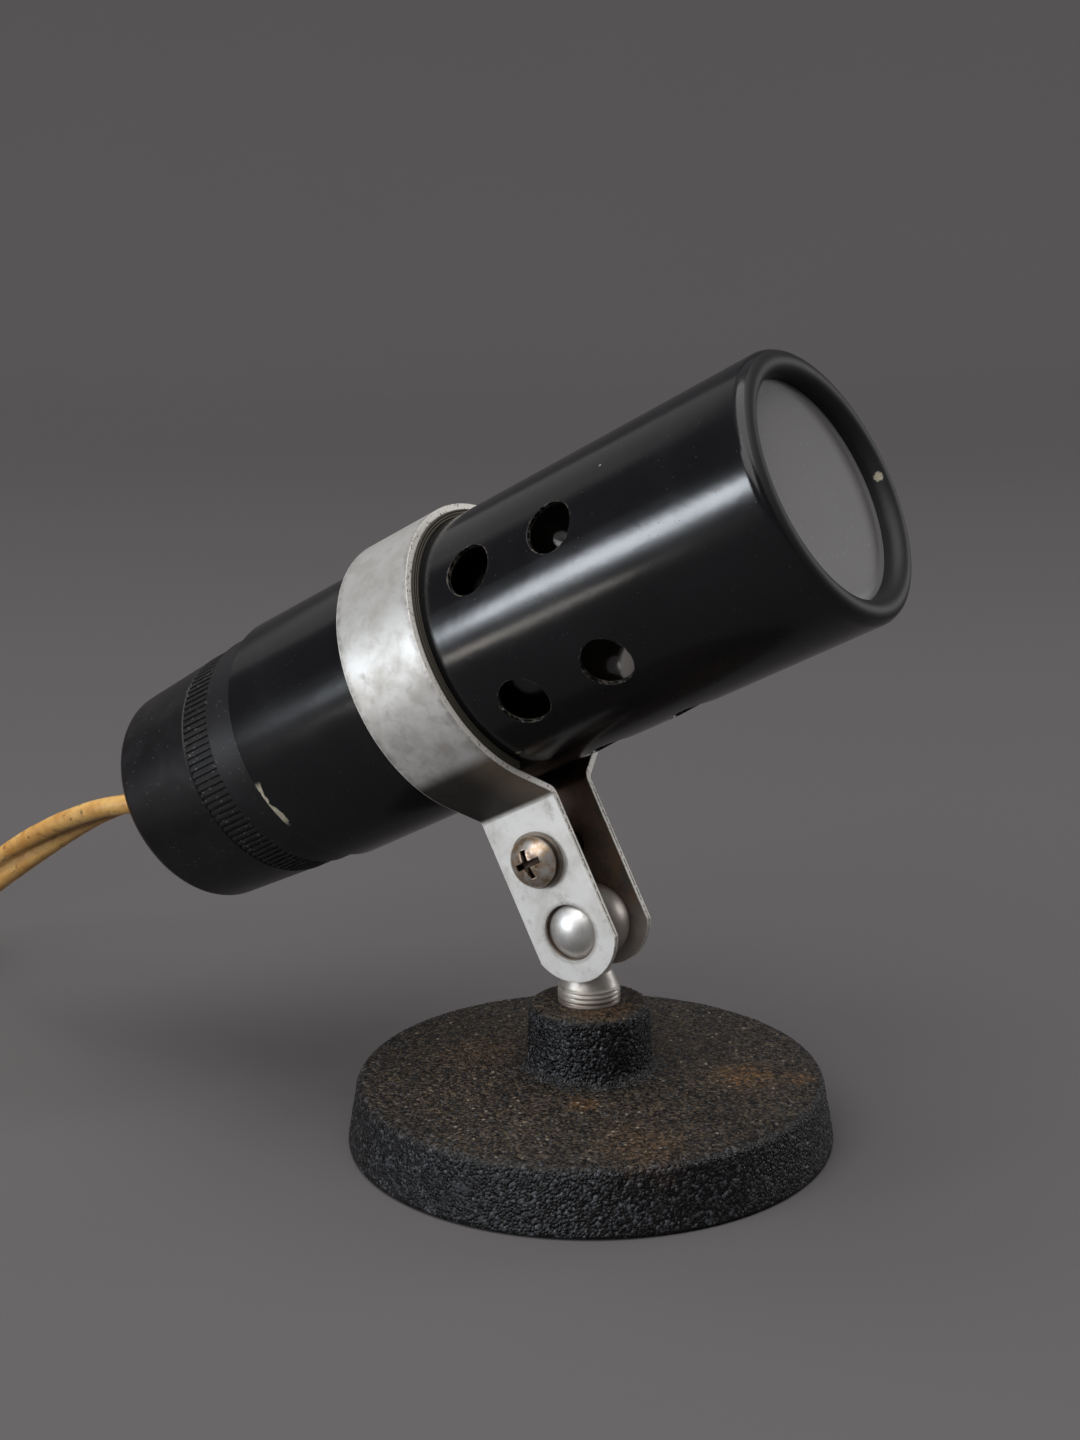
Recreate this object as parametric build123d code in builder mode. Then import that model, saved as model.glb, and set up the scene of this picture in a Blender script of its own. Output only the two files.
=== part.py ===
"""Tabletop searchlight lamp, in millimetres.

The origin is the centre of the base's underside and +Z is up.  The lamp tube's axis lies in the
XZ plane and the beam goes towards +X and up.  Along the tube, places are given as a distance from
the middle of the strap, positive towards the front glass.
"""
import os
from math import acos, atan2, cos, degrees, hypot, pi, radians, sin, sqrt, tan

from build123d import *

# ---------------------------------------------------------------- fits
RUNNING_FIT = 0.05          # radial clearance of a turning or threaded pair
SLIDE_FIT = 0.1             # radial clearance of a pushed-in or laid-in piece
LEAF = 0.02                 # gap between faces that are pressed together

# ---------------------------------------------------------------- base
BASE_R = 39.0
BASE_TOP_R = 37.2           # where the tapered side would meet the top face
BASE_H = 10.45
BASE_EDGE_ROUND = 1.6
BASE_FOOT = 0.3             # the casting's rim stands this far off the table
BASE_FOOT_ROUND = 0.4
BASE_CROWN = 1.1            # rise of the top face from its edge to the boss
BOSS_R = 9.7
BOSS_FOOT_R = 10.2
BOSS_FOOT_ROUND = 1.5
BOSS_TOP = 22.4
BOSS_ROUND = 1.6
PAD_R = 36.5
PAD_T = 1.0
NUT_POCKET_R = 14.0
NUT_POCKET_DEPTH = 6.2      # above the pad

# ---------------------------------------------------------------- ball stud
STUD_R = 5.0
STUD_FOOT_GAP = 0.4         # from the pad up to the stud's end
STUD_END_CHAMFER = 0.5
COLLAR_H = 2.8              # the thread that shows above the boss
COLLAR_CHAMFER = 0.4
NECK_R = 3.6
NECK_TAPER_H = 2.4
BALL_R = 6.45
BALL_Z = 35.0
THREAD_PITCH = 0.8
THREAD_DEPTH = 0.3
THREADS = 3
STUD_NUT_AF = 16.0
STUD_NUT_T = 4.0
STUD_WASHER_R = 10.5
STUD_WASHER_T = 1.5

# ---------------------------------------------------------------- lamp tube
BEAM_ANGLE = 26.6           # degrees above the horizontal
AXIS_TO_BALL = 45.4
TUBE_R = 21.2
TUBE_WALL = 0.8
TUBE_FRONT = 68.0
TUBE_REAR = -34.7
BEAD_R = 2.0                # the front edge is rolled inward to this radius
HEM = 1.0                   # straight stretch of the rolled edge, behind the roll
VENT_R = 4.0
VENTS_A_RING = 6
FRONT_VENTS = 33.1
REAR_VENTS = 17.5
GLASS_T = 2.6
GLASS_BEVEL = 0.7
RING_WIRE_R = 0.6

# ---------------------------------------------------------------- strap
STRAP_T = 1.1
STRAP_W = 14.8
LINER_T = 1.25
LINER_W = 15.2
LINER_AHEAD = 0.2           # how far the lining's middle lies ahead of the strap's
CREASE_BELOW = 0.86         # how far under the band's round the strap turns into the ears
CREASE_R = 1.6
EAR_END_R = 8.0
EAR_HOLE_R = 4.5
SCREW_ABOVE_BALL = 12.4
SCREW_R = 2.0
SCREW_LENGTH = 16.0
HEAD_R = 4.05
HEAD_H = 2.9
HEAD_SIDE = 1.0             # straight side of the head under its domed top
CROSS_LENGTH = 4.6
CROSS_WIDTH = 1.0
CROSS_DEPTH = 1.8
WASHER_R = 4.5
WASHER_T = 0.8
CLAMP_NUT_AF = 7.0
CLAMP_NUT_T = 3.2

# ---------------------------------------------------------------- lampholder
BAND_L = 6.5                # the plain band that shows behind the tube
SKIRT_FRONT = -20.0
SKIRT_CHAMFER = 1.0
SKIRT_BORE_R = 14.9
SPIGOT_STEP = 3.1           # how much smaller the spigot is than the skirt
SPIGOT_L = 11.8
RIB_RING_STEP = 0.35        # and the ribbed ring
RIB_RING_L = 6.0
RIBS = 110
RIB_DEPTH = 0.35
RIB_GAP = 0.55
CAP_LIP_STEP = 0.45         # and the cap at its lip
CAP_LIP_CHAMFER = 0.4
CAP_TAPER = 0.75            # how much smaller the cap gets towards its end
CAP_L = 20.8
CAP_CORNER_R = 13.0         # across the end
CAP_CORNER_H = 4.5          # along the axis
CAP_WALL = 3.7
CAP_END_WALL = 2.5
CORD_HOLE_R = 5.0
CORD_HOLE_ROUND = 0.8
SPIGOT_WALL = 0.7
INSERT_T = 9.0
SHELL_R = 13.9
SHELL_T = 0.4
SHELL_L = 24.0
SCREW_RINGS = 5
SCREW_RING_PITCH = 3.6
SCREW_RING_R = 0.45
CENTRE_CONTACT_W = 5.0
CENTRE_CONTACT_L = 14.0
CENTRE_CONTACT_T = 0.6
TERMINAL_OFFSET = 10.5
TERMINAL_R = 2.4
TERMINAL_H = 2.0
TERMINAL_SLOT_W = 0.7
TERMINAL_SLOT_D = 0.8
GRIP_L = 6.0
GRIP_W = 15.0
GRIP_H = 7.0
GRIP_ROUND = 1.5
GRIP_DROP = 1.8
CORE_R = 1.0

# ---------------------------------------------------------------- bulb
BULB_CAP_R = 12.9
BULB_CAP_T = 0.4
BULB_CAP_L = 23.6
BULB_CAP_CHAMFER = 2.0
BULB_R = 17.5
BULB_WIDEST = 14.0
BULB_WALL = 0.8
INSULATOR_L = 2.0
CONTACT_R = 4.4
CONTACT_T = 0.8
GLASS_IN_CAP = 2.0          # how deep the envelope and the stem sit in the cap
STEM_R = 3.6
STEM_FLARE = 1.0
STEM_SHOULDER = 5.0
STEM_L = 23.0
FILAMENT_AHEAD = 11.0
FILAMENT_SPREAD = 7.0
FILAMENT_RISE = 3.0
LEAD_WIRE_R = 0.35

# ---------------------------------------------------------------- cord
CORD_D = 5.0                # a round cord with the flat twin cord's section area
CORD_LENGTH = 1800.0
COIL_R = 38.0               # to the middle of the turns
COIL_TURNS = 6.5
COIL_W = 15.0
COIL_H = 14.0
COIL_ROUND = 3.0
COIL_X = -227.0
COIL_SIDE = 18.0            # how far the coil's lead-in lies beside the lamp's own plane
LEAD_L = 36.0               # the straight leads at the coil, from beside its centre
CORD_GAP = 0.9              # left at the coil's lead-in, where the cord's end swings past
TAIL_SAG = 0.1              # how far the tail's ends are from level
BUTT = 0.3                  # gap between two lengths of cord, or a cord and its grip
TIE_W = 4.0
TIE_T = 0.8
TIE_ANGLE = 205.0
PLUG_L = 30.0
PLUG_W = 22.0
PLUG_H = 13.0
PLUG_ROUND = 5.0
PLUG_NECK_R = 4.2
PLUG_NECK_L = 8.0
PLUG_NECK_BORE = 6.0        # how deep the cord goes into the neck
BLADE_L = 17.0
BLADE_IN_PLUG = 5.0
BLADE_W = 6.3
BLADE_T = 1.5
BLADE_SPACING = 12.7

# the cord's route from the cap down to the table and round to the coil's lead-in
CORD_ROUTE = (
    (-90.6, 0.0, 44.2),
    (-106.3, 0.0, 39.8),
    (-132.0, 0.5, 25.0),
    (-153.5, 7.5, 9.8),
    (-171.0, 16.0, 2.8),
)

# ---------------------------------------------------------------- frames
BEAM = Vector(cos(radians(BEAM_ANGLE)), 0, sin(radians(BEAM_ANGLE)))
RISE = Vector(-sin(radians(BEAM_ANGLE)), 0, cos(radians(BEAM_ANGLE)))
SIDE = Vector(0, -1, 0)
BALL = Vector(0, 0, BALL_Z)
TUBE_MID = BALL + RISE * AXIS_TO_BALL
BEAM_AXIS = Axis(TUBE_MID, BEAM)

PAD_SEAT = PAD_T + LEAF
NUT_SEAT = PAD_SEAT + NUT_POCKET_DEPTH
EAR_INSIDE = sqrt(BALL_R**2 - EAR_HOLE_R**2) + RUNNING_FIT
EAR_OUTSIDE = EAR_INSIDE + STRAP_T
LINER_R = TUBE_R + LEAF
STRAP_MID_R = LINER_R + LINER_T + LEAF + STRAP_T / 2
CREASE_DROP = STRAP_MID_R + CREASE_BELOW
TUBE_BORE = TUBE_R - TUBE_WALL
GLASS_FRONT = TUBE_FRONT - BEAD_R - HEM - LEAF
GLASS_REAR = GLASS_FRONT - GLASS_T
HEAD_SEAT = EAR_OUTSIDE + WASHER_T + 2 * LEAF
SKIRT_R = TUBE_BORE - SLIDE_FIT
SPIGOT_R = SKIRT_R - SPIGOT_STEP
RIB_RING_R = SKIRT_R - RIB_RING_STEP
CAP_LIP_R = SKIRT_R - CAP_LIP_STEP
CAP_SIDE_R = CAP_LIP_R - CAP_TAPER
CAP_BORE_R = CAP_SIDE_R - CAP_WALL
INSERT_R = SPIGOT_R - SPIGOT_WALL - SLIDE_FIT
BAND_END = TUBE_REAR - BAND_L
RIB_RING_END = BAND_END - RIB_RING_L - LEAF
CAP_FRONT = RIB_RING_END - LEAF
CAP_END = CAP_FRONT - CAP_L
SPIGOT_END = BAND_END - SPIGOT_L
INSERT_FRONT = SPIGOT_END + INSERT_T - TERMINAL_H
INSERT_REAR = INSERT_FRONT - INSERT_T
BACK_SEAT = INSERT_REAR - LEAF          # what lies behind the insert starts here
FRONT_SEAT = INSERT_FRONT + LEAF        # and what stands on its front starts here
GRIP_REAR = BACK_SEAT - GRIP_L
SHELL_FRONT = FRONT_SEAT + SHELL_L
CONTACT_REAR = FRONT_SEAT + CENTRE_CONTACT_T + LEAF
INSULATOR_REAR = CONTACT_REAR + CONTACT_T + LEAF
BULB_CAP_REAR = INSULATOR_REAR + INSULATOR_L + LEAF
BULB_CAP_FRONT = BULB_CAP_REAR + BULB_CAP_L
BULB_REAR = BULB_CAP_FRONT - GLASS_IN_CAP
BULB_NECK_R = BULB_CAP_R - BULB_CAP_T - LEAF
STEM_FRONT = BULB_REAR + STEM_L
FILAMENT_REAR = STEM_FRONT + LEAF
FILAMENT_AT = FILAMENT_REAR + FILAMENT_AHEAD


def head_point(along, up=0.0, side=0.0):
    """A point given by its place along the tube, above its axis and towards the side."""
    return TUBE_MID + BEAM * along + RISE * up + SIDE * side


def lengthwise():
    """The plane through the tube's axis: x is along the tube and y is up."""
    return Plane(origin=TUBE_MID, x_dir=BEAM, z_dir=SIDE)


def across(along):
    """A plane across the tube, facing the beam: x is down towards the ball and y is +Y."""
    return Plane(origin=head_point(along), x_dir=-RISE, z_dir=BEAM)


def ear_plane(out, up=0.0):
    """A plane parallel to the ears, facing the side, with its origin at or above the ball."""
    return Plane(origin=BALL + RISE * up + SIDE * out, x_dir=BEAM, z_dir=SIDE)


# ---------------------------------------------------------------- base pieces
def make_base_casting():
    with BuildPart() as base_casting:
        with BuildSketch(Plane.XZ):
            with BuildLine():
                FilletPolyline(
                    (0, BASE_FOOT), (BASE_R, BASE_FOOT), (BASE_TOP_R, BASE_H),
                    (BOSS_FOOT_R, BASE_H + BASE_CROWN), (BOSS_R, BOSS_TOP), (0, BOSS_TOP),
                    radius=[BASE_FOOT_ROUND, BASE_EDGE_ROUND, BOSS_FOOT_ROUND, BOSS_ROUND])
                Line((0, BOSS_TOP), (0, BASE_FOOT))
            make_face()
        revolve(axis=Axis.Z)
        with BuildSketch(Plane.XY):
            Circle(PAD_R + SLIDE_FIT)
        extrude(amount=PAD_SEAT, mode=Mode.SUBTRACT)
        with BuildSketch(Plane.XY):
            Circle(NUT_POCKET_R)
        extrude(amount=NUT_SEAT, mode=Mode.SUBTRACT)
        with BuildSketch(Plane.XY):
            Circle(STUD_R + RUNNING_FIT)
        extrude(amount=BOSS_TOP, mode=Mode.SUBTRACT)
    return base_casting


def make_base_pad():
    with BuildPart() as base_pad:
        with BuildSketch(Plane.XY):
            Circle(PAD_R)
        extrude(amount=PAD_T)
    return base_pad


def make_stud_washer():
    with BuildPart() as stud_washer:
        with BuildSketch(Plane.XY.offset(NUT_SEAT - LEAF)):
            Circle(STUD_WASHER_R)
            Circle(STUD_R + SLIDE_FIT, mode=Mode.SUBTRACT)
        extrude(amount=-STUD_WASHER_T)
    return stud_washer


def make_stud_nut():
    with BuildPart() as stud_nut:
        with BuildSketch(Plane.XY.offset(NUT_SEAT - STUD_WASHER_T - 2 * LEAF)):
            RegularPolygon(STUD_NUT_AF / 2, 6, major_radius=False)
            Circle(STUD_R + RUNNING_FIT, mode=Mode.SUBTRACT)
        extrude(amount=-STUD_NUT_T)
    return stud_nut


def make_ball_stud():
    foot = PAD_T + STUD_FOOT_GAP
    collar_top = BOSS_TOP + COLLAR_H
    grooves = [BOSS_TOP + THREAD_PITCH * (turn + 0.7) for turn in range(THREADS)]
    with BuildPart() as ball_stud:
        with BuildSketch(Plane.XZ):
            with BuildLine():
                Polyline(
                    (0, BALL_Z), (0, foot), (STUD_R - STUD_END_CHAMFER, foot),
                    (STUD_R, foot + STUD_END_CHAMFER), (STUD_R, collar_top - COLLAR_CHAMFER),
                    (STUD_R - COLLAR_CHAMFER, collar_top), (NECK_R, collar_top + NECK_TAPER_H),
                    (NECK_R, BALL_Z), close=True)
            make_face()
        revolve(axis=Axis.Z)
        with BuildSketch(Plane.XZ):
            with Locations(*[(STUD_R, height) for height in grooves]):
                Circle(THREAD_DEPTH)
        revolve(axis=Axis.Z, mode=Mode.SUBTRACT)
        with Locations(BALL):
            Sphere(BALL_R)
    return ball_stud


# ---------------------------------------------------------------- strap pieces
def band_end():
    """Where the strap's middle line leaves the band: its place, and its angle from straight down."""
    ear = EAR_INSIDE + STRAP_T / 2
    angle = atan2(ear, CREASE_DROP) + acos(STRAP_MID_R / hypot(CREASE_DROP, ear))
    return (STRAP_MID_R * cos(angle), STRAP_MID_R * sin(angle)), degrees(angle)


def make_clamp_strap():
    (leave, out), angle = band_end()
    ear = EAR_INSIDE + STRAP_T / 2
    tip = AXIS_TO_BALL + EAR_END_R
    with BuildPart() as clamp_strap:
        with BuildSketch(across(-STRAP_W / 2)):
            with BuildLine():
                CenterArc((0, 0), STRAP_MID_R, angle, 360 - 2 * angle)
                FilletPolyline((leave, out), (CREASE_DROP, ear), (tip, ear), radius=CREASE_R)
                FilletPolyline((leave, -out), (CREASE_DROP, -ear), (tip, -ear), radius=CREASE_R)
            trace(line_width=STRAP_T)
        extrude(amount=STRAP_W)
        with BuildSketch(ear_plane(0)):
            with Locations((0, -EAR_END_R)):
                Rectangle(3 * EAR_END_R, 2 * EAR_END_R)
            Circle(EAR_END_R, mode=Mode.SUBTRACT)
        extrude(amount=2 * EAR_OUTSIDE, both=True, mode=Mode.SUBTRACT)
        with BuildSketch(ear_plane(0)):
            Circle(EAR_HOLE_R)
            with Locations((0, SCREW_ABOVE_BALL)):
                Circle(SCREW_R + SLIDE_FIT)
        extrude(amount=2 * EAR_OUTSIDE, both=True, mode=Mode.SUBTRACT)
    return clamp_strap


def make_strap_liner():
    angle = band_end()[1]
    with BuildPart() as strap_liner:
        with BuildSketch(across(LINER_AHEAD - LINER_W / 2)):
            with BuildLine():
                CenterArc((0, 0), LINER_R + LINER_T / 2, angle, 360 - 2 * angle)
            trace(line_width=LINER_T)
        extrude(amount=LINER_W)
    return strap_liner


def make_clamp_washer():
    with BuildPart() as clamp_washer:
        with BuildSketch(ear_plane(EAR_OUTSIDE + LEAF, SCREW_ABOVE_BALL)):
            Circle(WASHER_R)
            Circle(SCREW_R + SLIDE_FIT, mode=Mode.SUBTRACT)
        extrude(amount=WASHER_T)
    return clamp_washer


def make_clamp_screw():
    dome = HEAD_H - HEAD_SIDE
    dome_r = (HEAD_R**2 + dome**2) / (2 * dome)
    seat = ear_plane(HEAD_SEAT, SCREW_ABOVE_BALL)
    with BuildPart() as clamp_screw:
        with BuildSketch(seat):
            Circle(HEAD_R)
        extrude(amount=HEAD_H)
        with Locations(seat.origin + SIDE * (HEAD_H - dome_r)):
            Sphere(dome_r, mode=Mode.INTERSECT)
        with BuildSketch(seat):
            Circle(SCREW_R)
        extrude(amount=-SCREW_LENGTH)
        with BuildSketch(seat.offset(HEAD_H - CROSS_DEPTH)):
            Rectangle(CROSS_LENGTH, CROSS_WIDTH)
            Rectangle(CROSS_WIDTH, CROSS_LENGTH)
        extrude(amount=2 * CROSS_DEPTH, mode=Mode.SUBTRACT)
    return clamp_screw


def make_clamp_nut():
    with BuildPart() as clamp_nut:
        with BuildSketch(ear_plane(-EAR_OUTSIDE - LEAF, SCREW_ABOVE_BALL)):
            RegularPolygon(CLAMP_NUT_AF / 2, 6, major_radius=False)
            Circle(SCREW_R + RUNNING_FIT, mode=Mode.SUBTRACT)
        extrude(amount=-CLAMP_NUT_T)
    return clamp_nut


# ---------------------------------------------------------------- lamp tube pieces
def make_lamp_tube():
    roll = TUBE_FRONT - BEAD_R
    mid = TUBE_R - BEAD_R
    bend = BEAD_R - TUBE_WALL
    hem = roll - HEM
    with BuildPart() as lamp_tube:
        with BuildSketch(lengthwise()):
            with BuildLine():
                ThreePointArc((roll, TUBE_R), (TUBE_FRONT, mid), (roll, mid - BEAD_R))
                Polyline((roll, mid - BEAD_R), (hem, mid - BEAD_R), (hem, mid - bend), (roll, mid - bend))
                ThreePointArc((roll, mid - bend), (roll + bend, mid), (roll, TUBE_BORE))
                Polyline((roll, TUBE_BORE), (TUBE_REAR, TUBE_BORE), (TUBE_REAR, TUBE_R), (roll, TUBE_R))
            make_face()
        revolve(axis=BEAM_AXIS)
        for along in (REAR_VENTS, FRONT_VENTS):
            for vent in range(VENTS_A_RING):
                turn = radians(vent * 360 / VENTS_A_RING)
                outward = RISE * cos(turn) + SIDE * sin(turn)
                with BuildSketch(Plane(origin=head_point(along), x_dir=BEAM, z_dir=outward)):
                    Circle(VENT_R)
                extrude(amount=2 * TUBE_R, mode=Mode.SUBTRACT)
    return lamp_tube


def make_front_glass():
    with BuildPart() as front_glass:
        with BuildSketch(across(GLASS_REAR)):
            Circle(TUBE_BORE - SLIDE_FIT)
        extrude(amount=GLASS_T)
        chamfer(front_glass.edges().filter_by(GeomType.CIRCLE), GLASS_BEVEL)
    return front_glass


def make_glass_ring():
    with BuildPart() as glass_ring:
        with BuildSketch(lengthwise()):
            with Locations((GLASS_REAR - LEAF - RING_WIRE_R, TUBE_BORE - LEAF - RING_WIRE_R)):
                Circle(RING_WIRE_R)
        revolve(axis=BEAM_AXIS)
    return glass_ring


# ---------------------------------------------------------------- lampholder pieces
def make_holder_skirt():
    pocket = INSERT_R + SLIDE_FIT
    with BuildPart() as holder_skirt:
        with BuildSketch(lengthwise()):
            with BuildLine():
                Polyline(
                    (SKIRT_FRONT, SKIRT_BORE_R), (SKIRT_FRONT, SKIRT_R - SKIRT_CHAMFER),
                    (SKIRT_FRONT - SKIRT_CHAMFER, SKIRT_R), (BAND_END, SKIRT_R),
                    (BAND_END, SPIGOT_R), (SPIGOT_END, SPIGOT_R), (SPIGOT_END, pocket),
                    (FRONT_SEAT, pocket), (FRONT_SEAT, SKIRT_BORE_R), close=True)
            make_face()
        revolve(axis=BEAM_AXIS)
    return holder_skirt


def make_holder_ring():
    with BuildPart() as holder_ring:
        with BuildSketch(across(RIB_RING_END)):
            Circle(RIB_RING_R)
            Circle(SPIGOT_R + RUNNING_FIT, mode=Mode.SUBTRACT)
            with PolarLocations(RIB_RING_R, RIBS):
                Rectangle(2 * RIB_DEPTH, RIB_GAP, mode=Mode.SUBTRACT)
        extrude(amount=RIB_RING_L)
    return holder_ring


def make_holder_cap():
    bore = SPIGOT_R + RUNNING_FIT
    corner = CAP_END + CAP_CORNER_H
    flat = CAP_SIDE_R - CAP_CORNER_R
    floor = CAP_END + CAP_END_WALL
    with BuildPart() as holder_cap:
        with BuildSketch(lengthwise()):
            with BuildLine():
                Polyline(
                    (corner, CAP_SIDE_R), (CAP_FRONT - CAP_LIP_CHAMFER, CAP_LIP_R),
                    (CAP_FRONT, CAP_LIP_R - CAP_LIP_CHAMFER), (CAP_FRONT, bore), (BACK_SEAT, bore),
                    (BACK_SEAT, CAP_BORE_R), (corner, CAP_BORE_R), (floor, flat), (floor, 0),
                    (CAP_END, 0), (CAP_END, flat))
                EllipticalCenterArc((corner, flat), CAP_CORNER_H, CAP_CORNER_R, start_angle=90, arc_size=90)
            make_face()
        revolve(axis=BEAM_AXIS)
        with BuildSketch(across(CAP_END)):
            Circle(CORD_HOLE_R)
        extrude(amount=2 * CAP_END_WALL, mode=Mode.SUBTRACT)
        mouth = holder_cap.edges().filter_by(GeomType.CIRCLE).sort_by(Axis(TUBE_MID, -BEAM))
        fillet(mouth.filter_by(lambda edge: abs(edge.radius - CORD_HOLE_R) < LEAF)[-1], CORD_HOLE_ROUND)
    return holder_cap


def make_holder_insert():
    with BuildPart() as holder_insert:
        with BuildSketch(across(INSERT_REAR)):
            Circle(INSERT_R)
        extrude(amount=INSERT_T)
    return holder_insert


def screw_rings(radius):
    """Centres of a lamp thread's rings, for a sketch along the tube."""
    return [(SHELL_FRONT - SCREW_RING_PITCH * (ring + 0.7), radius) for ring in range(SCREW_RINGS)]


def make_screw_shell():
    bore = SHELL_R - SHELL_T
    with BuildPart() as screw_shell:
        with BuildSketch(lengthwise()):
            with Locations(((FRONT_SEAT + SHELL_FRONT) / 2, SHELL_R - SHELL_T / 2)):
                Rectangle(SHELL_L, SHELL_T)
            with Locations(*screw_rings(SHELL_R)):
                Circle(SCREW_RING_R)
            with Locations(*screw_rings(bore)):
                Circle(SCREW_RING_R - SLIDE_FIT, mode=Mode.SUBTRACT)
        revolve(axis=BEAM_AXIS)
    return screw_shell


def make_centre_contact():
    with BuildPart() as centre_contact:
        with BuildSketch(across(FRONT_SEAT)):
            Rectangle(CENTRE_CONTACT_W, CENTRE_CONTACT_L)
        extrude(amount=CENTRE_CONTACT_T)
    return centre_contact


def make_terminal_screws():
    with BuildPart() as terminal_screws:
        with BuildSketch(across(BACK_SEAT)):
            with Locations((-TERMINAL_OFFSET, 0), (TERMINAL_OFFSET, 0)):
                Circle(TERMINAL_R)
        extrude(amount=-TERMINAL_H)
        with BuildSketch(across(BACK_SEAT - TERMINAL_H)):
            with Locations((-TERMINAL_OFFSET, 0), (TERMINAL_OFFSET, 0)):
                Rectangle(3 * TERMINAL_R, TERMINAL_SLOT_W)
        extrude(amount=TERMINAL_SLOT_D, mode=Mode.SUBTRACT)
    return terminal_screws


def make_cord_grip():
    with BuildPart() as cord_grip:
        with BuildSketch(across(BACK_SEAT)):
            with Locations((GRIP_DROP, 0)):
                RectangleRounded(GRIP_H, GRIP_W, GRIP_ROUND)
        extrude(amount=-GRIP_L)
    return cord_grip


def make_core_ends():
    """The two stripped cores, from the grip up and down to the terminal screws."""
    behind = BACK_SEAT - CORE_R - LEAF
    reach = TERMINAL_OFFSET - TERMINAL_R - LEAF
    above = GRIP_H / 2 - GRIP_DROP + LEAF
    below = GRIP_H / 2 + GRIP_DROP + LEAF
    with BuildPart() as core_ends:
        with BuildSketch(Plane(origin=head_point(behind, up=above), x_dir=BEAM, z_dir=RISE)):
            Circle(CORE_R)
        extrude(amount=reach - above)
        with BuildSketch(Plane(origin=head_point(behind, up=-below), x_dir=BEAM, z_dir=RISE)):
            Circle(CORE_R)
        extrude(amount=below - reach)
    return core_ends


# ---------------------------------------------------------------- bulb pieces
def make_bulb_cap():
    bore = BULB_CAP_R - BULB_CAP_T
    shoulder = BULB_CAP_REAR + BULB_CAP_CHAMFER
    with BuildPart() as bulb_cap:
        with BuildSketch(lengthwise()):
            with BuildLine():
                Polyline(
                    (BULB_CAP_REAR, bore - BULB_CAP_CHAMFER),
                    (BULB_CAP_REAR, BULB_CAP_R - BULB_CAP_CHAMFER), (shoulder, BULB_CAP_R),
                    (BULB_CAP_FRONT, BULB_CAP_R), (BULB_CAP_FRONT, bore), (shoulder, bore), close=True)
            make_face()
            with Locations(*screw_rings(BULB_CAP_R - SLIDE_FIT)):
                Circle(SCREW_RING_R)
        revolve(axis=BEAM_AXIS)
    return bulb_cap


def make_bulb_insulator():
    front = BULB_CAP_REAR - LEAF
    with BuildPart() as bulb_insulator:
        with BuildSketch(across(front)):
            Circle(BULB_CAP_R - BULB_CAP_CHAMFER)
        with BuildSketch(across(INSULATOR_REAR)):
            Circle(CONTACT_R + BULB_CAP_T)
        loft()
    return bulb_insulator


def make_bulb_contact():
    with BuildPart() as bulb_contact:
        with BuildSketch(across(CONTACT_REAR)):
            Circle(CONTACT_R)
        extrude(amount=CONTACT_T)
    return bulb_contact


def envelope_line(wall):
    """Half outline of the bulb's envelope: neck, flare and round end, closed along the axis."""
    neck = BULB_NECK_R - wall
    widest = BULB_R - wall
    flare = ((BULB_CAP_FRONT + BULB_WIDEST) / 2, (neck + widest) / 2)
    tip = BULB_WIDEST + widest
    Polyline((tip, 0), (BULB_REAR, 0), (BULB_REAR, neck), (BULB_CAP_FRONT, neck))
    TangentArc((BULB_CAP_FRONT, neck), flare, tangent=(1, 0))
    TangentArc((BULB_WIDEST, widest), flare, tangent=(-1, 0))
    RadiusArc((BULB_WIDEST, widest), (tip, 0), widest)


def make_bulb_glass():
    with BuildPart() as bulb_glass:
        with BuildSketch(lengthwise()):
            with BuildLine():
                envelope_line(0)
            make_face()
            with BuildLine():
                envelope_line(BULB_WALL)
            make_face(mode=Mode.SUBTRACT)
        revolve(axis=BEAM_AXIS)
    return bulb_glass


def make_bulb_stem():
    edge = BULB_NECK_R - BULB_WALL - LEAF
    with BuildPart() as bulb_stem:
        with BuildSketch(lengthwise()):
            with BuildLine():
                Polyline(
                    (BULB_REAR, 0), (BULB_REAR, edge), (BULB_REAR + STEM_FLARE, edge),
                    (BULB_REAR + STEM_SHOULDER, STEM_R), (STEM_FRONT, STEM_R / 2), (STEM_FRONT, 0),
                    close=True)
            make_face()
        revolve(axis=BEAM_AXIS)
    return bulb_stem


def make_bulb_filament():
    """The two lead wires and the coil strung between them, standing on the stem."""
    foot = STEM_R / 4
    points = [
        head_point(FILAMENT_REAR, side=-foot), head_point(FILAMENT_AT, side=-FILAMENT_SPREAD),
        head_point(FILAMENT_AT, up=FILAMENT_RISE), head_point(FILAMENT_AT, side=FILAMENT_SPREAD),
        head_point(FILAMENT_REAR, side=foot)]
    with BuildPart() as bulb_filament:
        with BuildLine():
            Polyline(*points)
        with BuildSketch(Plane(origin=points[0], z_dir=points[1] - points[0])):
            Circle(LEAD_WIRE_R)
        sweep(transition=Transition.RIGHT)
        split(bisect_by=across(FILAMENT_REAR), keep=Keep.TOP)
    return bulb_filament


# ---------------------------------------------------------------- cord pieces
def corner_radii(points):
    """For each corner, 0.45 of the shorter run divided by the tangent of half the turn."""
    radii = []
    for before, corner, after in zip(points, points[1:], points[2:]):
        run_in = corner - before
        run_out = after - corner
        half_turn = radians(run_in.get_angle(run_out)) / 2
        radii.append(0.45 * min(run_in.length, run_out.length) / tan(half_turn))
    return radii


def cord_points():
    start = head_point(GRIP_REAR - CORD_D / 2 * tan(radians(BEAM_ANGLE)), up=-GRIP_DROP)
    end = Vector(COIL_X + LEAD_L + CORD_GAP, COIL_SIDE, CORD_D / 2)
    return [start] + [Vector(*point) for point in CORD_ROUTE] + [end]


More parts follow.
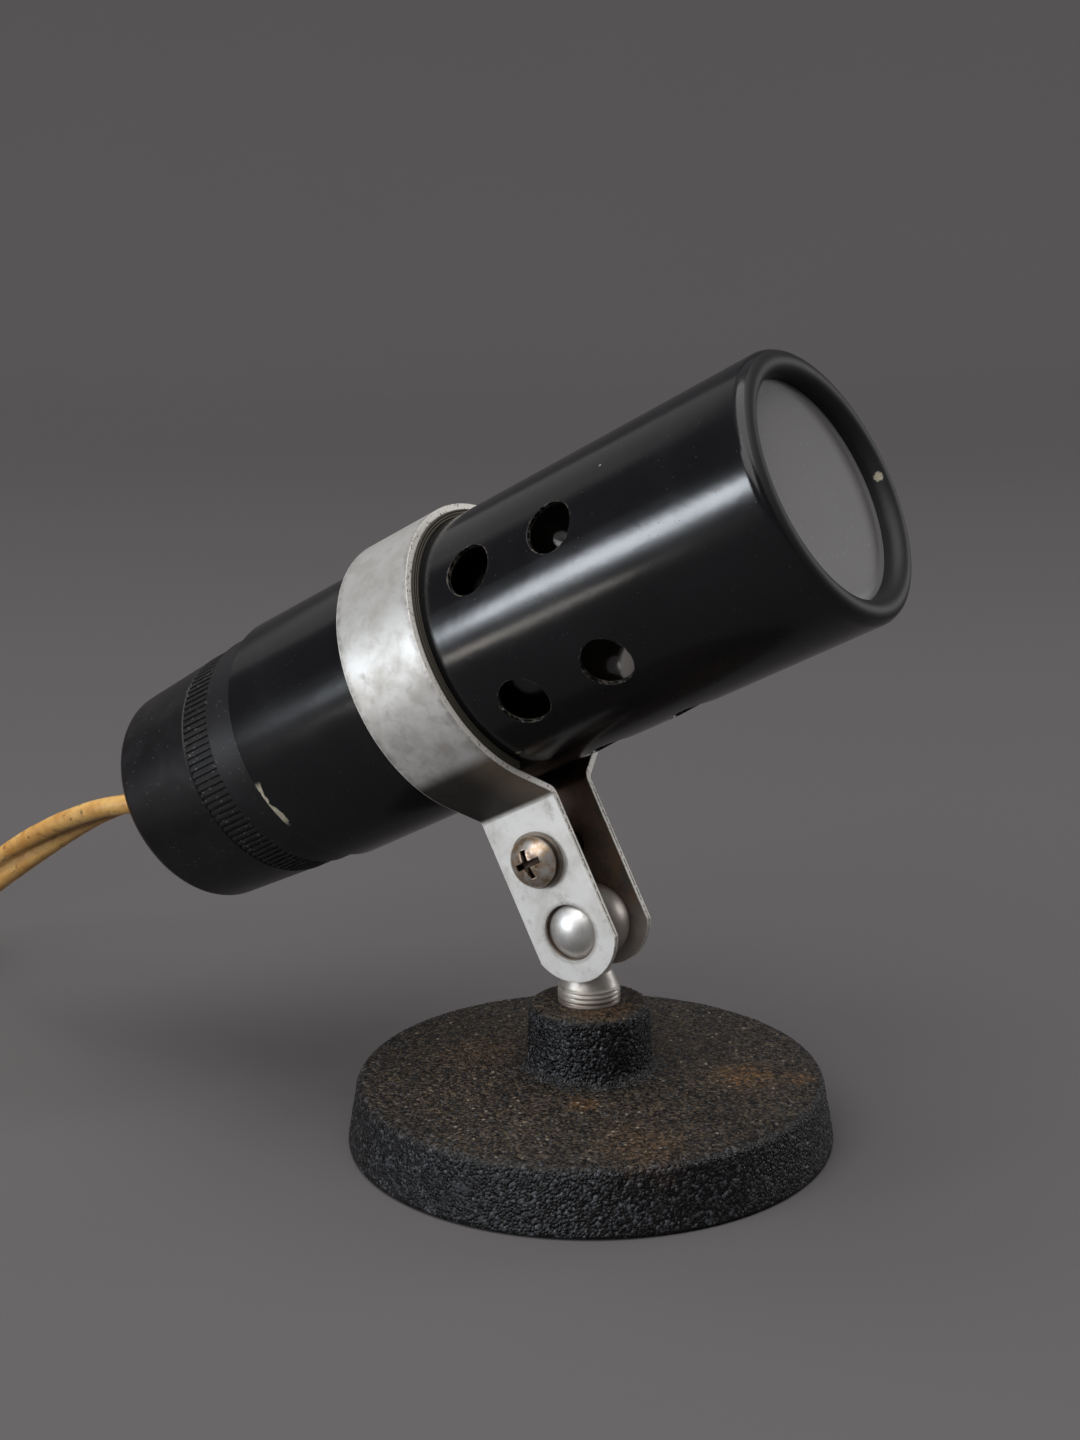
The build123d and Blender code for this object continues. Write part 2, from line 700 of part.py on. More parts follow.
def route_length(points):
    return FilletPolyline(*points, radius=corner_radii(points)).length


def make_cord(points):
    with BuildPart() as cord:
        with BuildLine() as route:
            FilletPolyline(*points, radius=corner_radii(points))
        with BuildSketch(Plane(origin=points[0], z_dir=points[1] - points[0])):
            Circle(CORD_D / 2)
        sweep()
    length = route.wire().length
    print("cord length", round(length, 1))
    print("cord radii", [round(radius, 1) for radius in corner_radii(points)])
    print("cord volume over section times length",
          round(cord.part.volume / (pi * CORD_D**2 / 4 * length), 4))
    return cord


def tie_plane(clearance):
    """The plane across the coil's turns where the tie starts: x is outward from the coil."""
    turn = radians(TIE_ANGLE)
    outward = Vector(cos(turn), sin(turn), 0)
    along = Vector(-sin(turn), cos(turn), 0)
    middle = Vector(COIL_X, COIL_SIDE - COIL_R, (COIL_H + TIE_T) / 2) + outward * COIL_R
    return Plane(origin=middle - along * (TIE_W / 2 + clearance), x_dir=outward, z_dir=along)


def draw_tie(clearance):
    """The tie's closed band round the coil's section, grown by a clearance on every face."""
    RectangleRounded(COIL_W + 2 * TIE_T, COIL_H + TIE_T, COIL_ROUND)
    RectangleRounded(COIL_W - 2 * clearance, COIL_H - TIE_T - 2 * clearance, COIL_ROUND - TIE_T,
                     mode=Mode.SUBTRACT)


def make_coil_tie():
    with BuildPart() as coil_tie:
        with BuildSketch(tie_plane(0)):
            draw_tie(0)
        extrude(amount=TIE_W)
    return coil_tie


def make_cord_coil():
    with BuildPart() as cord_coil:
        with BuildSketch(Plane.XZ.offset(COIL_R - COIL_SIDE)):
            with Locations((COIL_X + COIL_R, COIL_H / 2)):
                RectangleRounded(COIL_W, COIL_H, COIL_ROUND)
        revolve(axis=Axis((COIL_X, COIL_SIDE - COIL_R, 0), (0, 0, 1)))
        for beside in (COIL_SIDE, COIL_SIDE - 2 * COIL_R):
            with BuildSketch(Plane(origin=(COIL_X + LEAD_L, beside, CORD_D / 2), z_dir=(-1, 0, 0))):
                Circle(CORD_D / 2)
            extrude(amount=LEAD_L - CORD_D)
        with BuildSketch(tie_plane(LEAF)):
            draw_tie(LEAF)
        extrude(amount=TIE_W + 2 * LEAF, mode=Mode.SUBTRACT)
    return cord_coil


def tail_points(tube_length):
    """The rest of the cord's whole length, rising beside the coil to the middle of the plug."""
    used = tube_length + CORD_GAP + LEAD_L + COIL_TURNS * 2 * pi * COIL_R
    start = Vector(COIL_X + LEAD_L + BUTT, COIL_SIDE - 2 * COIL_R, CORD_D / 2)
    end = Vector(COIL_X + CORD_LENGTH - used, COIL_SIDE - 2 * COIL_R, PLUG_H / 2)
    third = Vector((end.X - start.X) / 3, 0, 0)
    return [start, start + third + Vector(0, 0, TAIL_SAG), end - third - Vector(0, 0, TAIL_SAG), end]


def make_cord_tail(points):
    with BuildPart() as cord_tail:
        with BuildLine():
            FilletPolyline(*points, radius=corner_radii(points))
        with BuildSketch(Plane(origin=points[0], z_dir=points[1] - points[0])):
            Circle(CORD_D / 2)
        sweep()
    print("tail radii", [round(radius, 1) for radius in corner_radii(points)])
    return cord_tail


def draw_blades(clearance):
    with Locations((0, -BLADE_SPACING / 2), (0, BLADE_SPACING / 2)):
        Rectangle(BLADE_W + 2 * clearance, BLADE_T + 2 * clearance)


def plug_plane(tail_end, ahead):
    """A plane across the plug, facing the way its blades point, with x up and y across."""
    return Plane(origin=tail_end + Vector(ahead, 0, 0), x_dir=(0, 0, 1), z_dir=(1, 0, 0))


def make_plug_body(tail_end):
    back = PLUG_NECK_L - PLUG_NECK_BORE
    face = back + PLUG_L
    with BuildPart() as plug_body:
        with BuildSketch(plug_plane(tail_end, back)):
            RectangleRounded(PLUG_H, PLUG_W, PLUG_ROUND)
        extrude(amount=PLUG_L)
        with BuildSketch(plug_plane(tail_end, back)):
            Circle(PLUG_NECK_R)
        extrude(amount=-PLUG_NECK_L)
        with BuildSketch(plug_plane(tail_end, BUTT)):
            Circle(CORD_D / 2 + SLIDE_FIT)
        extrude(amount=-2 * PLUG_NECK_L, mode=Mode.SUBTRACT)
        with BuildSketch(plug_plane(tail_end, face - BLADE_IN_PLUG - LEAF)):
            draw_blades(LEAF)
        extrude(amount=2 * BLADE_IN_PLUG, mode=Mode.SUBTRACT)
    return plug_body


def make_plug_pins(tail_end):
    face = PLUG_NECK_L - PLUG_NECK_BORE + PLUG_L
    with BuildPart() as plug_pins:
        with BuildSketch(plug_plane(tail_end, face - BLADE_IN_PLUG)):
            draw_blades(0)
        extrude(amount=BLADE_IN_PLUG + BLADE_L)
    return plug_pins


def main():
    os.makedirs("parts", exist_ok=True)
    route = cord_points()
    tail = tail_points(route_length(route))
    pieces = {
        "base_casting": make_base_casting(),
        "base_pad": make_base_pad(),
        "stud_washer": make_stud_washer(),
        "stud_nut": make_stud_nut(),
        "ball_stud": make_ball_stud(),
        "clamp_strap": make_clamp_strap(),
        "strap_liner": make_strap_liner(),
        "clamp_washer": make_clamp_washer(),
        "clamp_screw": make_clamp_screw(),
        "clamp_nut": make_clamp_nut(),
        "lamp_tube": make_lamp_tube(),
        "front_glass": make_front_glass(),
        "glass_ring": make_glass_ring(),
        "holder_skirt": make_holder_skirt(),
        "holder_ring": make_holder_ring(),
        "holder_cap": make_holder_cap(),
        "holder_insert": make_holder_insert(),
        "screw_shell": make_screw_shell(),
        "centre_contact": make_centre_contact(),
        "terminal_screws": make_terminal_screws(),
        "cord_grip": make_cord_grip(),
        "core_ends": make_core_ends(),
        "bulb_cap": make_bulb_cap(),
        "bulb_insulator": make_bulb_insulator(),
        "bulb_contact": make_bulb_contact(),
        "bulb_glass": make_bulb_glass(),
        "bulb_stem": make_bulb_stem(),
        "bulb_filament": make_bulb_filament(),
        "cord": make_cord(route),
        "cord_coil": make_cord_coil(),
        "coil_tie": make_coil_tie(),
        "cord_tail": make_cord_tail(tail),
        "plug_body": make_plug_body(tail[-1]),
        "plug_pins": make_plug_pins(tail[-1]),
    }
    for label, piece in pieces.items():
        piece.part.label = label
        export_step(piece.part, "parts/" + label + ".step")


main()
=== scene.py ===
"""Dresses the tabletop searchlight: a black vented tube in a nickel strap clamp,
standing on a ball stud over a crinkle-painted cast base, with a flat twin cord."""

import math
from functools import reduce

import bmesh
import bpy
from bpy.props import FloatProperty, FloatVectorProperty, IntProperty, PointerProperty
from mathutils import Matrix, Vector, noise


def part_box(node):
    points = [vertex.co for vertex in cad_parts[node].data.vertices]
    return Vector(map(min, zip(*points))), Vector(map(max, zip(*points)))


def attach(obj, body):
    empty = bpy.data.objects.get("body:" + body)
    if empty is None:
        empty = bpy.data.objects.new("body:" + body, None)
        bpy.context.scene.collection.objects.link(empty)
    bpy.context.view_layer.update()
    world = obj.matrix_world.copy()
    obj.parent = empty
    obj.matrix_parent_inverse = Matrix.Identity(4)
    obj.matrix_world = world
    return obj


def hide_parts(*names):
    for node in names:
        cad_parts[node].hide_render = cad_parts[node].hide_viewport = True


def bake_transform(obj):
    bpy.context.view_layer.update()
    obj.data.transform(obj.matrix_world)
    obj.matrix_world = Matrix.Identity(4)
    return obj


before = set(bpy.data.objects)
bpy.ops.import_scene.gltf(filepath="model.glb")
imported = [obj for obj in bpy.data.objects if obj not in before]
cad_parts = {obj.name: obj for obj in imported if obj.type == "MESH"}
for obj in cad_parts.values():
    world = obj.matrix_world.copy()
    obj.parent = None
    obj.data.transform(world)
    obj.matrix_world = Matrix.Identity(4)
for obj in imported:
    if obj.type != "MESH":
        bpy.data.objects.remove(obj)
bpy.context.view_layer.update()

bl_info = {
    "name": "Tabletop Searchlight",
    "version": (1, 0, 0),
    "blender": (4, 5, 0),
    "location": "3D View > Sidebar > Searchlight",
    "description": "Builds the pieces, finishes and studio of a small tabletop searchlight",
    "category": "Add Mesh",
}

MM = 0.001

# along the lamp tube, square to it on top, out from its near side, and straight up
BEAM = Vector((0.89415, 0.0, 0.44776))
RISE = Vector((-0.44776, 0.0, 0.89415))
SIDE = Vector((0.0, -1.0, 0.0))
UP = Vector((0.0, 0.0, 1.0))

# all places and sizes from here on are in millimetres, unless they say otherwise
TUBE_MID = Vector((-20.328, 0.0, 75.594))
BALL = Vector((0.0, 0.0, 35.0))

# the lamp tube and the lampholder, with places along them counted from TUBE_MID
TUBE_R = 21.2
TUBE_BORE = 20.4
VENT_RINGS = (33.1, 17.5)
VENT_HALF_STEP = 30.0  # degrees
VENT_RIM_WEAR_AND_HIGHLIGHT_SQUARED = (17.6, 16.9)  # square of where a vent's rubbed rim with its painted highlight ends and starts
CHIPPED_EDGE = 34.42  # how far behind the middle
BAND_FRONT = -35.0
RIB_FRONT = -41.0
RIB_REAR = -47.4

# the cast base
BASE_R = 39.0
FOOT = 0.3
PAD_R = 36.6
PAD_TOP = 1.02
WELL_R = 14.0
WELL_TOP = 7.22
STUD_BORE = 5.05
BOSS_TOP = 22.4
SMOOTH_BELOW = 0.45  # the paint has no grain this near the table
SMOOTH_WITHIN = 5.6  # nor this near the stud
PAINT_CELL = 0.44
GRAIN_SEED = 1  # noise_vector starts from the clock unless it is given a seed above 0

# the strap clamp's ears and its screw
EAR_HOLE = Vector((0.0, -5.85, 35.0))
# where the strap's edges carry their wear and a painted highlight: along its sides, and round the ends of
# its ears
EDGE_WEAR_AND_HIGHLIGHT_SIDE = (7.28, 7.38)
EDGE_WEAR_AND_HIGHLIGHT_END = (7.88, 7.96)
SHEET_MID = 5.3  # half way through an ear's sheet
SCREW_ABOVE_BALL = 12.4
SCREW_SEAT = Vector((0.0, -6.6, 0.0))


# ---------------------------------------------------------------- shader maths


class Level:
    """One shader value. Arithmetic on it adds Math nodes."""

    def __init__(self, finish, socket):
        self.finish = finish
        self.socket = socket

    def math(self, operation, *values):
        """A Math node over these values."""
        return self.finish.node("Math", {"operation": operation}, dict(enumerate(values)))

    def __add__(self, other):
        return self.math("ADD", self, other)

    def __radd__(self, other):
        return self.math("ADD", other, self)

    def __sub__(self, other):
        return self.math("SUBTRACT", self, other)

    def __rsub__(self, other):
        return self.math("SUBTRACT", other, self)

    def __mul__(self, other):
        return self.math("MULTIPLY", self, other)

    def __rmul__(self, other):
        return self.math("MULTIPLY", other, self)

    def __pow__(self, other):
        return self.math("POWER", self, other)

    def __abs__(self):
        return self.math("ABSOLUTE", self)

    def top(self, other):
        return self.math("MAXIMUM", self, other)

    def least(self, other):
        return self.math("MINIMUM", self, other)

    def sine(self):
        return self.math("SINE", self)

    def step(self, low, high):
        """0 below low, 1 above high and smooth between; the other way round if low > high."""
        return self.finish.node(
            "MapRange",
            {"interpolation_type": "SMOOTHSTEP"},
            {"Value": self, "From Min": low, "From Max": high},
        )


class Finish:
    """A surface finish, worked out in millimetres of the lamp's own space."""

    def __init__(self, name):
        self.material = bpy.data.materials.new(name)
        self.material.use_nodes = True
        self.tree = self.material.node_tree
        self.tree.nodes.clear()
        here = self.node("TexCoord", out="Object")
        self.place = self.vector("SCALE", here, Scale=1 / MM)

    def node(self, kind, settings=None, sockets=None, out=0):
        """Adds a node: its type, its settings, then the values or links of its sockets."""
        node = self.tree.nodes.new("ShaderNode" + kind)
        for key, value in (settings or {}).items():
            setattr(node, key, value)
        for key, value in (sockets or {}).items():
            if isinstance(value, Level):
                self.tree.links.new(value.socket, node.inputs[key])
            else:
                node.inputs[key].default_value = value
        return Level(self, node.outputs[out])

    def vector(self, operation, *values, out=0, **named):
        """A Vector Math node over these values, with others by their names."""
        sockets = {**dict(enumerate(values)), **named}
        return self.node("VectorMath", {"operation": operation}, sockets, out)

    def along(self, direction, origin=(0, 0, 0)):
        """How far a point lies from origin along direction."""
        shift = Vector(direction).dot(Vector(origin))
        return self.vector("DOT_PRODUCT", self.place, tuple(direction), out="Value") - shift

    def near(self, point, radius, soft=0.3, ragged=0.0, size=0.6):
        """1 within radius of a point, with a soft and, if wanted, ragged edge."""
        away = self.vector("DISTANCE", self.place, tuple(point), out="Value")
        if ragged:
            away = away + (self.grain(size, 3) - 0.5) * (2 * ragged)
        return away.step(radius, radius - soft)

    def spots(self, places):
        """Several places at once, each given as near() takes it with its strength after it."""
        return reduce(Level.top, [self.near(*place[:-1]) * place[-1] for place in places])

    def grain(self, size, detail=2.0, rough=0.5, warp=0.0, at=None):
        """Soft noise from 0 to 1 whose blotches are size millimetres across."""
        return self.node(
            "TexNoise",
            {},
            {
                "Vector": at or self.place,
                "Scale": 1 / size,
                "Detail": detail,
                "Roughness": rough,
                "Distortion": warp,
            },
        )

    def pebbles(self, size, feature="F1", at=None, out="Distance"):
        """Rounded cells about size millimetres across."""
        return self.node(
            "TexVoronoi",
            {"feature": feature},
            {"Vector": at or self.place, "Scale": 1 / size},
            out,
        )

    def specks(self, size, share, spread=0.28):
        """Dots up to size millimetres wide in a share of the cells of a loose grid."""
        cell = size * 3
        colour = self.pebbles(cell, out="Color")
        chosen = self.node("SeparateColor", {}, {0: colour}).step(share, share - 0.01)
        return chosen * self.pebbles(cell).step(spread, spread * 0.55)

    def from_axis(self):
        """How far a point lies from the lamp tube's axis."""
        flat = {0: self.along(RISE, TUBE_MID), 1: self.along(SIDE)}
        return self.vector("LENGTH", self.node("CombineXYZ", {}, flat), out="Value")

    def stretched(self, direction, factor):
        """The same place, squeezed along one direction, for brushed lines and drawn marks."""
        along = self.vector("DOT_PRODUCT", self.place, tuple(direction), out="Value")
        back = self.vector("SCALE", tuple(direction), Scale=along * (factor - 1))
        return self.vector("ADD", self.place, back)

    def tint(self, share, first, second):
        """A colour that goes from first to second as share goes from 0 to 1."""
        sockets = {0: share, 6: colour(first), 7: colour(second)}
        return self.node("Mix", {"data_type": "RGBA"}, sockets, 2)

    def worn_edges(self, radius=0.15):
        """Normals that turn over a small radius at each sharp edge."""
        return self.node("Bevel", {"samples": 4}, {"Radius": radius * MM})

    def bump(self, height, depth, base=None):
        """Relief depth millimetres deep over a height from 0 to 1."""
        sockets = {"Height": height, "Distance": depth * MM, "Strength": 1.0}
        if base:
            sockets["Normal"] = base
        return self.node("Bump", {}, sockets)

    def close(self, **sockets):
        """Ends the finish in one Principled shader with these sockets."""
        named = {key.replace("_", " "): value for key, value in sockets.items()}
        shader = self.node("BsdfPrincipled", {}, named)
        end = self.tree.nodes.new("ShaderNodeOutputMaterial")
        self.tree.links.new(shader.socket, end.inputs["Surface"])
        return self.material


def colour(value):
    """A colour socket's value: links pass, plain colours get their fourth number."""
    if isinstance(value, Level):
        return value
    return (*tuple(value)[:3], 1.0)


def shade(red, green, blue):
    """Linear colour of a screen colour that is given from 0 to 255."""
    parts = (red / 255, green / 255, blue / 255)
    return tuple(p / 12.92 if p <= 0.04045 else ((p + 0.055) / 1.055) ** 2.4 for p in parts)


# ---------------------------------------------------------------- mesh makers


def mesh_piece(name, bm, finish):
    """Ends a bmesh in a new object with one finish."""
    bmesh.ops.recalc_face_normals(bm, faces=bm.faces)
    mesh = bpy.data.meshes.new(name)
    bm.to_mesh(mesh)
    bm.free()
    mesh.shade_smooth()
    mesh.materials.append(finish)
    piece = bpy.data.objects.new(name, mesh)
    bpy.context.scene.collection.objects.link(piece)
    return piece


def rounded_outline(corners, pitch):
    """Points about pitch apart along straight runs whose corners have the given radii."""
    points = []
    last = len(corners) - 1
    for index, (x, y, radius) in enumerate(corners):
        here = Vector((x, y))
        if index in (0, last) or radius == 0:
            arc = [here]
        else:
            before = (Vector(corners[index - 1][:2]) - here).normalized()
            after = (Vector(corners[index + 1][:2]) - here).normalized()
            half = before.angle(after) / 2
            reach = radius / math.tan(half)
            centre = here + (before + after).normalized() * radius / math.sin(half)
            start = here + before * reach - centre
            turn = (here + after * reach - centre).angle_signed(start)
            count = max(3, round(abs(turn) * radius / pitch))
            arc = [centre + spin2(start, turn * k / count) for k in range(count + 1)]
        if points:
            gap = arc[0] - points[-1]
            count = max(1, round(gap.length / pitch))
            run = [points[-1] + gap * k / count for k in range(1, count)]
            points.extend(run)
        points.extend(arc)
    return points


def spin2(flat, angle):
    """A flat vector turned by an angle."""
    c, s = math.cos(angle), math.sin(angle)
    return Vector((flat.x * c - flat.y * s, flat.x * s + flat.y * c))


def swept(name, line, wide_at, section, finish):
    """A bar of this section along a line of points, all in metres."""
    bm = bmesh.new()
    rings = []
    last = len(line) - 1
    for index, point in enumerate(line):
        heading = (line[min(index + 1, last)] - line[max(index - 1, 0)]).normalized()
        wide = wide_at(index, heading)
        wide = (wide - heading * wide.dot(heading)).normalized()
        thick = heading.cross(wide)
        rings.append([bm.verts.new(point + (wide * u + thick * v)) for u, v in section])
    count = len(section)
    for near, far in zip(rings, rings[1:]):
        for k in range(count):
            n = (k + 1) % count
            bm.faces.new((near[k], near[n], far[n], far[k]))
    bm.faces.new(rings[0])
    bm.faces.new(rings[-1])
    return mesh_piece(name, bm, finish)


def smooth_line(points, resolution):
    """The points of a smooth spline through these control points, all in metres."""
    curve = bpy.data.curves.new("guide", "CURVE")
    curve.dimensions = "3D"
    curve.resolution_u = resolution
    spline = curve.splines.new("NURBS")
    spline.points.add(len(points) - 1)
    for control, point in zip(spline.points, points):
        control.co = (*point, 1.0)
    spline.order_u = 3
    spline.use_endpoint_u = True
    guide = bpy.data.objects.new("guide", curve)
    bpy.context.scene.collection.objects.link(guide)
    bpy.context.view_layer.update()
    mesh = bpy.data.meshes.new_from_object(guide)
    line = [vertex.co.copy() for vertex in mesh.vertices]
    bpy.data.objects.remove(guide)
    bpy.data.meshes.remove(mesh)
    bpy.data.curves.remove(curve)
    return line


def ease(value, low, high):
    """0 below low, 1 above high and smooth between."""
    t = min(1.0, max(0.0, (value - low) / (high - low)))
    return t * t * (3 - 2 * t)


def finish_nodes(material, *nodes):
    """Puts a finish on every slot of these solids of the frame."""
    for name in nodes:
        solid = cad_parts[name]
        if not solid.material_slots:
            solid.data.materials.append(material)
        for slot in solid.material_slots:
            slot.material = material


# ---------------------------------------------------------------- settings


def colour_setting(name, description, default):
    return FloatVectorProperty(
        name=name,
        description=description,
        subtype="COLOR",
        size=3,
        min=0,
        max=1,
        default=default,
    )


def length_setting(name, description, low, high, default, precision=2):
    return FloatProperty(
        name=name,
        description=description,
        unit="LENGTH",
        min=low,
        max=high,
        default=default,
        precision=precision,
    )


class SearchlightSettings(bpy.types.PropertyGroup):
    """Colours and sizes, in metres, that can be changed before the pieces are built."""

    backdrop: colour_setting(
        "Backdrop", "Colour of the floor and the wall behind the lamp", shade(105, 102, 103)
    )
    enamel: colour_setting(
        "Enamel", "Colour of the stove enamel on the lamp tube", (0.0060, 0.0060, 0.0070)
    )
    moulding: colour_setting(
        "Moulding", "Colour of the moulded lampholder", (0.0080, 0.0072, 0.0080)
    )
    nickel: colour_setting(
        "Nickel", "Colour of the plated strap, ball and stud", (0.84, 0.83, 0.81)
    )
    cord_jacket: colour_setting(
        "Cord", "Colour of the aged jacket of the twin cord", shade(232, 186, 112)
    )
    crinkle_depth: length_setting(
        "Crinkle depth", "How deep the crinkle paint lies between its grains", 0, 0.001, 0.00024, 5
    )
    crinkle_size: length_setting(
        "Crinkle size", "How far apart the grains of the crinkle paint are", 0.0003, 0.003, 0.0006, 5
    )
    base_steps: IntProperty(
        name="Base steps",
        description="How many steps the cast base is turned in",
        min=60,
        max=900,
        default=760,
    )
    cord_width: length_setting("Cord width", "Width of the flat twin cord", 0.004, 0.010, 0.007, 4)
    cord_thickness: length_setting(
        "Cord thickness", "Thickness of the flat twin cord", 0.002, 0.006, 0.00355, 5
    )
    floor_radius: length_setting(
        "Floor radius", "Where the level floor starts to rise to the wall", 0.5, 4, 2.1
    )


def settings():
    """The settings of the open scene."""
    return bpy.context.scene.searchlight


class PieceOperator:
    """What all the builders of the lamp share."""

    bl_options = {"REGISTER", "UNDO"}


# ---------------------------------------------------------------- camera and studio

# the camera's lens in millimetres, its place in metres, and the ways that it faces
LENS = 50.934
CAMERA_PLACE = (0.1553207, -0.2654302, 0.1339389)
CAMERA_RIGHT = (0.8522, 0.5230, -0.0122)
CAMERA_AHEAD = (-0.5136, 0.8319, -0.2101)

# the stage, in metres
LAMP_AIM = Vector((0, 0, 0.06))
FLOOR_DROP = 0.00005
WALL_BEND = 0.9
WALL_TOP = 2.6
BEND_STEPS = 12
FLOOR_STEPS = 96


class SEARCHLIGHT_OT_camera(PieceOperator, bpy.types.Operator):
    """Set the camera a little above the lamp, looking along its side"""

    bl_idname = "searchlight.camera"
    bl_label = "Camera"

    def execute(self, context):
        data = bpy.data.cameras.new("camera")
        data.lens = LENS
        data.sensor_width = 36.0
        data.clip_start = 0.01
        data.clip_end = 50.0
        right = Vector(CAMERA_RIGHT).normalized()
        ahead = Vector(CAMERA_AHEAD).normalized()
        up = right.cross(ahead).normalized()
        camera = bpy.data.objects.new("camera", data)
        turn = Matrix((right, up, -ahead)).transposed().to_4x4()
        camera.matrix_world = Matrix.Translation(CAMERA_PLACE) @ turn
        context.scene.collection.objects.link(camera)
        context.scene.camera = camera
        return {"FINISHED"}


def backdrop_finish():
    """Grey paper with a painted glow that makes it a little brighter far from the lamp, as the camera and
    metal see it.
    """
    f = Finish("backdrop_paper")
    paper = settings().backdrop
    tone = f.tint(f.grain(260, 2, 0.5), [c * 0.97 for c in paper], [c * 1.03 for c in paper])
    # the painted glow: light given off by the paper itself, seen only by the camera and in reflections
    seen = f.node("LightPath", out="Is Camera Ray").top(f.node("LightPath", out="Is Glossy Ray"))
    away = f.vector("LENGTH", f.place, out="Value").step(500, 2300)
    painted_glow = f.vector("SCALE", tuple(paper), Scale=away * seen * 0.36)
    return f.close(
        Base_Color=tone,
        Roughness=0.85,
        Specular_IOR_Level=0.15,
        Emission_Color=painted_glow,
        Emission_Strength=1.0,
    )


def soft_lamp(name, azimuth, elevation, distance, size, level, tone=(1, 1, 1)):
    """A soft box that faces the lamp, as bright as level times white."""
    data = bpy.data.lights.new(name, "AREA")
    data.shape = "RECTANGLE"
    data.size, data.size_y = size
    data.energy = level * math.pi * size[0] * size[1]
    data.color = tone
    lamp = bpy.data.objects.new(name, data)
    a, e = math.radians(azimuth), math.radians(elevation)
    away = Vector((math.sin(a) * math.cos(e), -math.cos(a) * math.cos(e), math.sin(e)))
    turn = away.to_track_quat("Z", "Y").to_matrix().to_4x4()
    lamp.matrix_world = Matrix.Translation(LAMP_AIM + away * distance) @ turn
    lamp.visible_camera = False
    bpy.context.scene.collection.objects.link(lamp)
    return lamp


class SEARCHLIGHT_OT_stage(PieceOperator, bpy.types.Operator):
    """Build the floor with its rising wall, and the soft boxes"""

    bl_idname = "searchlight.stage"
    bl_label = "Stage and lights"

    def execute(self, context):
        radius = settings().floor_radius
        outline = [(0.0, 0.0), (0.3, 0.0), (0.7, 0.0), (1.2, 0.0), (radius, 0.0)]
        for k in range(1, BEND_STEPS + 1):
            angle = math.pi / 2 * k / BEND_STEPS
            rise = WALL_BEND * (1 - math.cos(angle))
            outline.append((radius + WALL_BEND * math.sin(angle), rise))
        outline.append((radius + WALL_BEND, WALL_TOP))
        bm = bmesh.new()
        middle = bm.verts.new((0, 0, -FLOOR_DROP))
        turns = [2 * math.pi * k / FLOOR_STEPS for k in range(FLOOR_STEPS)]
        rows = []
        for r, z in outline[1:]:
            places = [(r * math.cos(t), r * math.sin(t), z - FLOOR_DROP) for t in turns]
            rows.append([bm.verts.new(place) for place in places])
        for k in range(FLOOR_STEPS):
            n = (k + 1) % FLOOR_STEPS
            bm.faces.new((middle, rows[0][k], rows[0][n]))
            for near, far in zip(rows, rows[1:]):
                bm.faces.new((near[k], far[k], far[n], near[n]))
        floor = mesh_piece("floor_and_wall", bm, backdrop_finish())

        soft_lamp("key_box", -35.4, 6.6, 1.90, (0.44, 0.30), 18.5, (0.86, 0.93, 1.0))
        soft_lamp("key_halo", -35.0, 5.5, 1.92, (0.60, 0.58), 2.6, (0.88, 0.94, 1.0))
        soft_lamp("top_box", 10.0, 80.0, 1.60, (2.0, 1.8), 2.0, (1.0, 0.99, 0.98))
        soft_lamp("left_card", -106.0, 30.0, 1.30, (0.80, 0.50), 0.3)
        soft_lamp("front_card", -5.0, 36.0, 1.60, (1.2, 0.8), 2.4)
        warm = (1.0, 0.95, 0.88)
        low_card = soft_lamp("low_card", -30.0, -7.0, 0.32, (0.085, 0.020), 0.27, warm)
        low_card.data.spread = math.radians(30)
        soft_lamp("rim_card", 148.0, 13.0, 1.50, (0.50, 0.50), 4.0)

        world = bpy.data.worlds.new("studio_air")
        world.use_nodes = True
        air = world.node_tree.nodes["Background"]
        air.inputs["Color"].default_value = (0.95, 0.97, 1.0, 1.0)
        air.inputs["Strength"].default_value = 0.25
        context.scene.world = world
        context.scene.view_settings.view_transform = "Standard"
        return {"FINISHED"}


# ---------------------------------------------------------------- base


# rust: place, radius, softness, raggedness, size of the ragged edge and strength
RUST_BLOOMS = (
    ((23.1, 9.1, 11), 7.5, 6.5, 3.0, 3.0, 0.75),
    ((30.6, 13.4, 11), 4.0, 3.5, 2.0, 2.0, 0.5),
    ((7.0, -14.3, 11), 3.6, 3.2, 1.8, 1.5, 0.8),
    ((-19.0, -3.0, 11), 9.0, 7.0, 3.0, 3.0, 0.25),
    ((22.0, -22.0, 11), 10.0, 8.0, 4.0, 3.0, 0.32),
    ((3.0, -2.0, BOSS_TOP), 6.3, 1.6, 1.0, 1.0, 0.35),
)


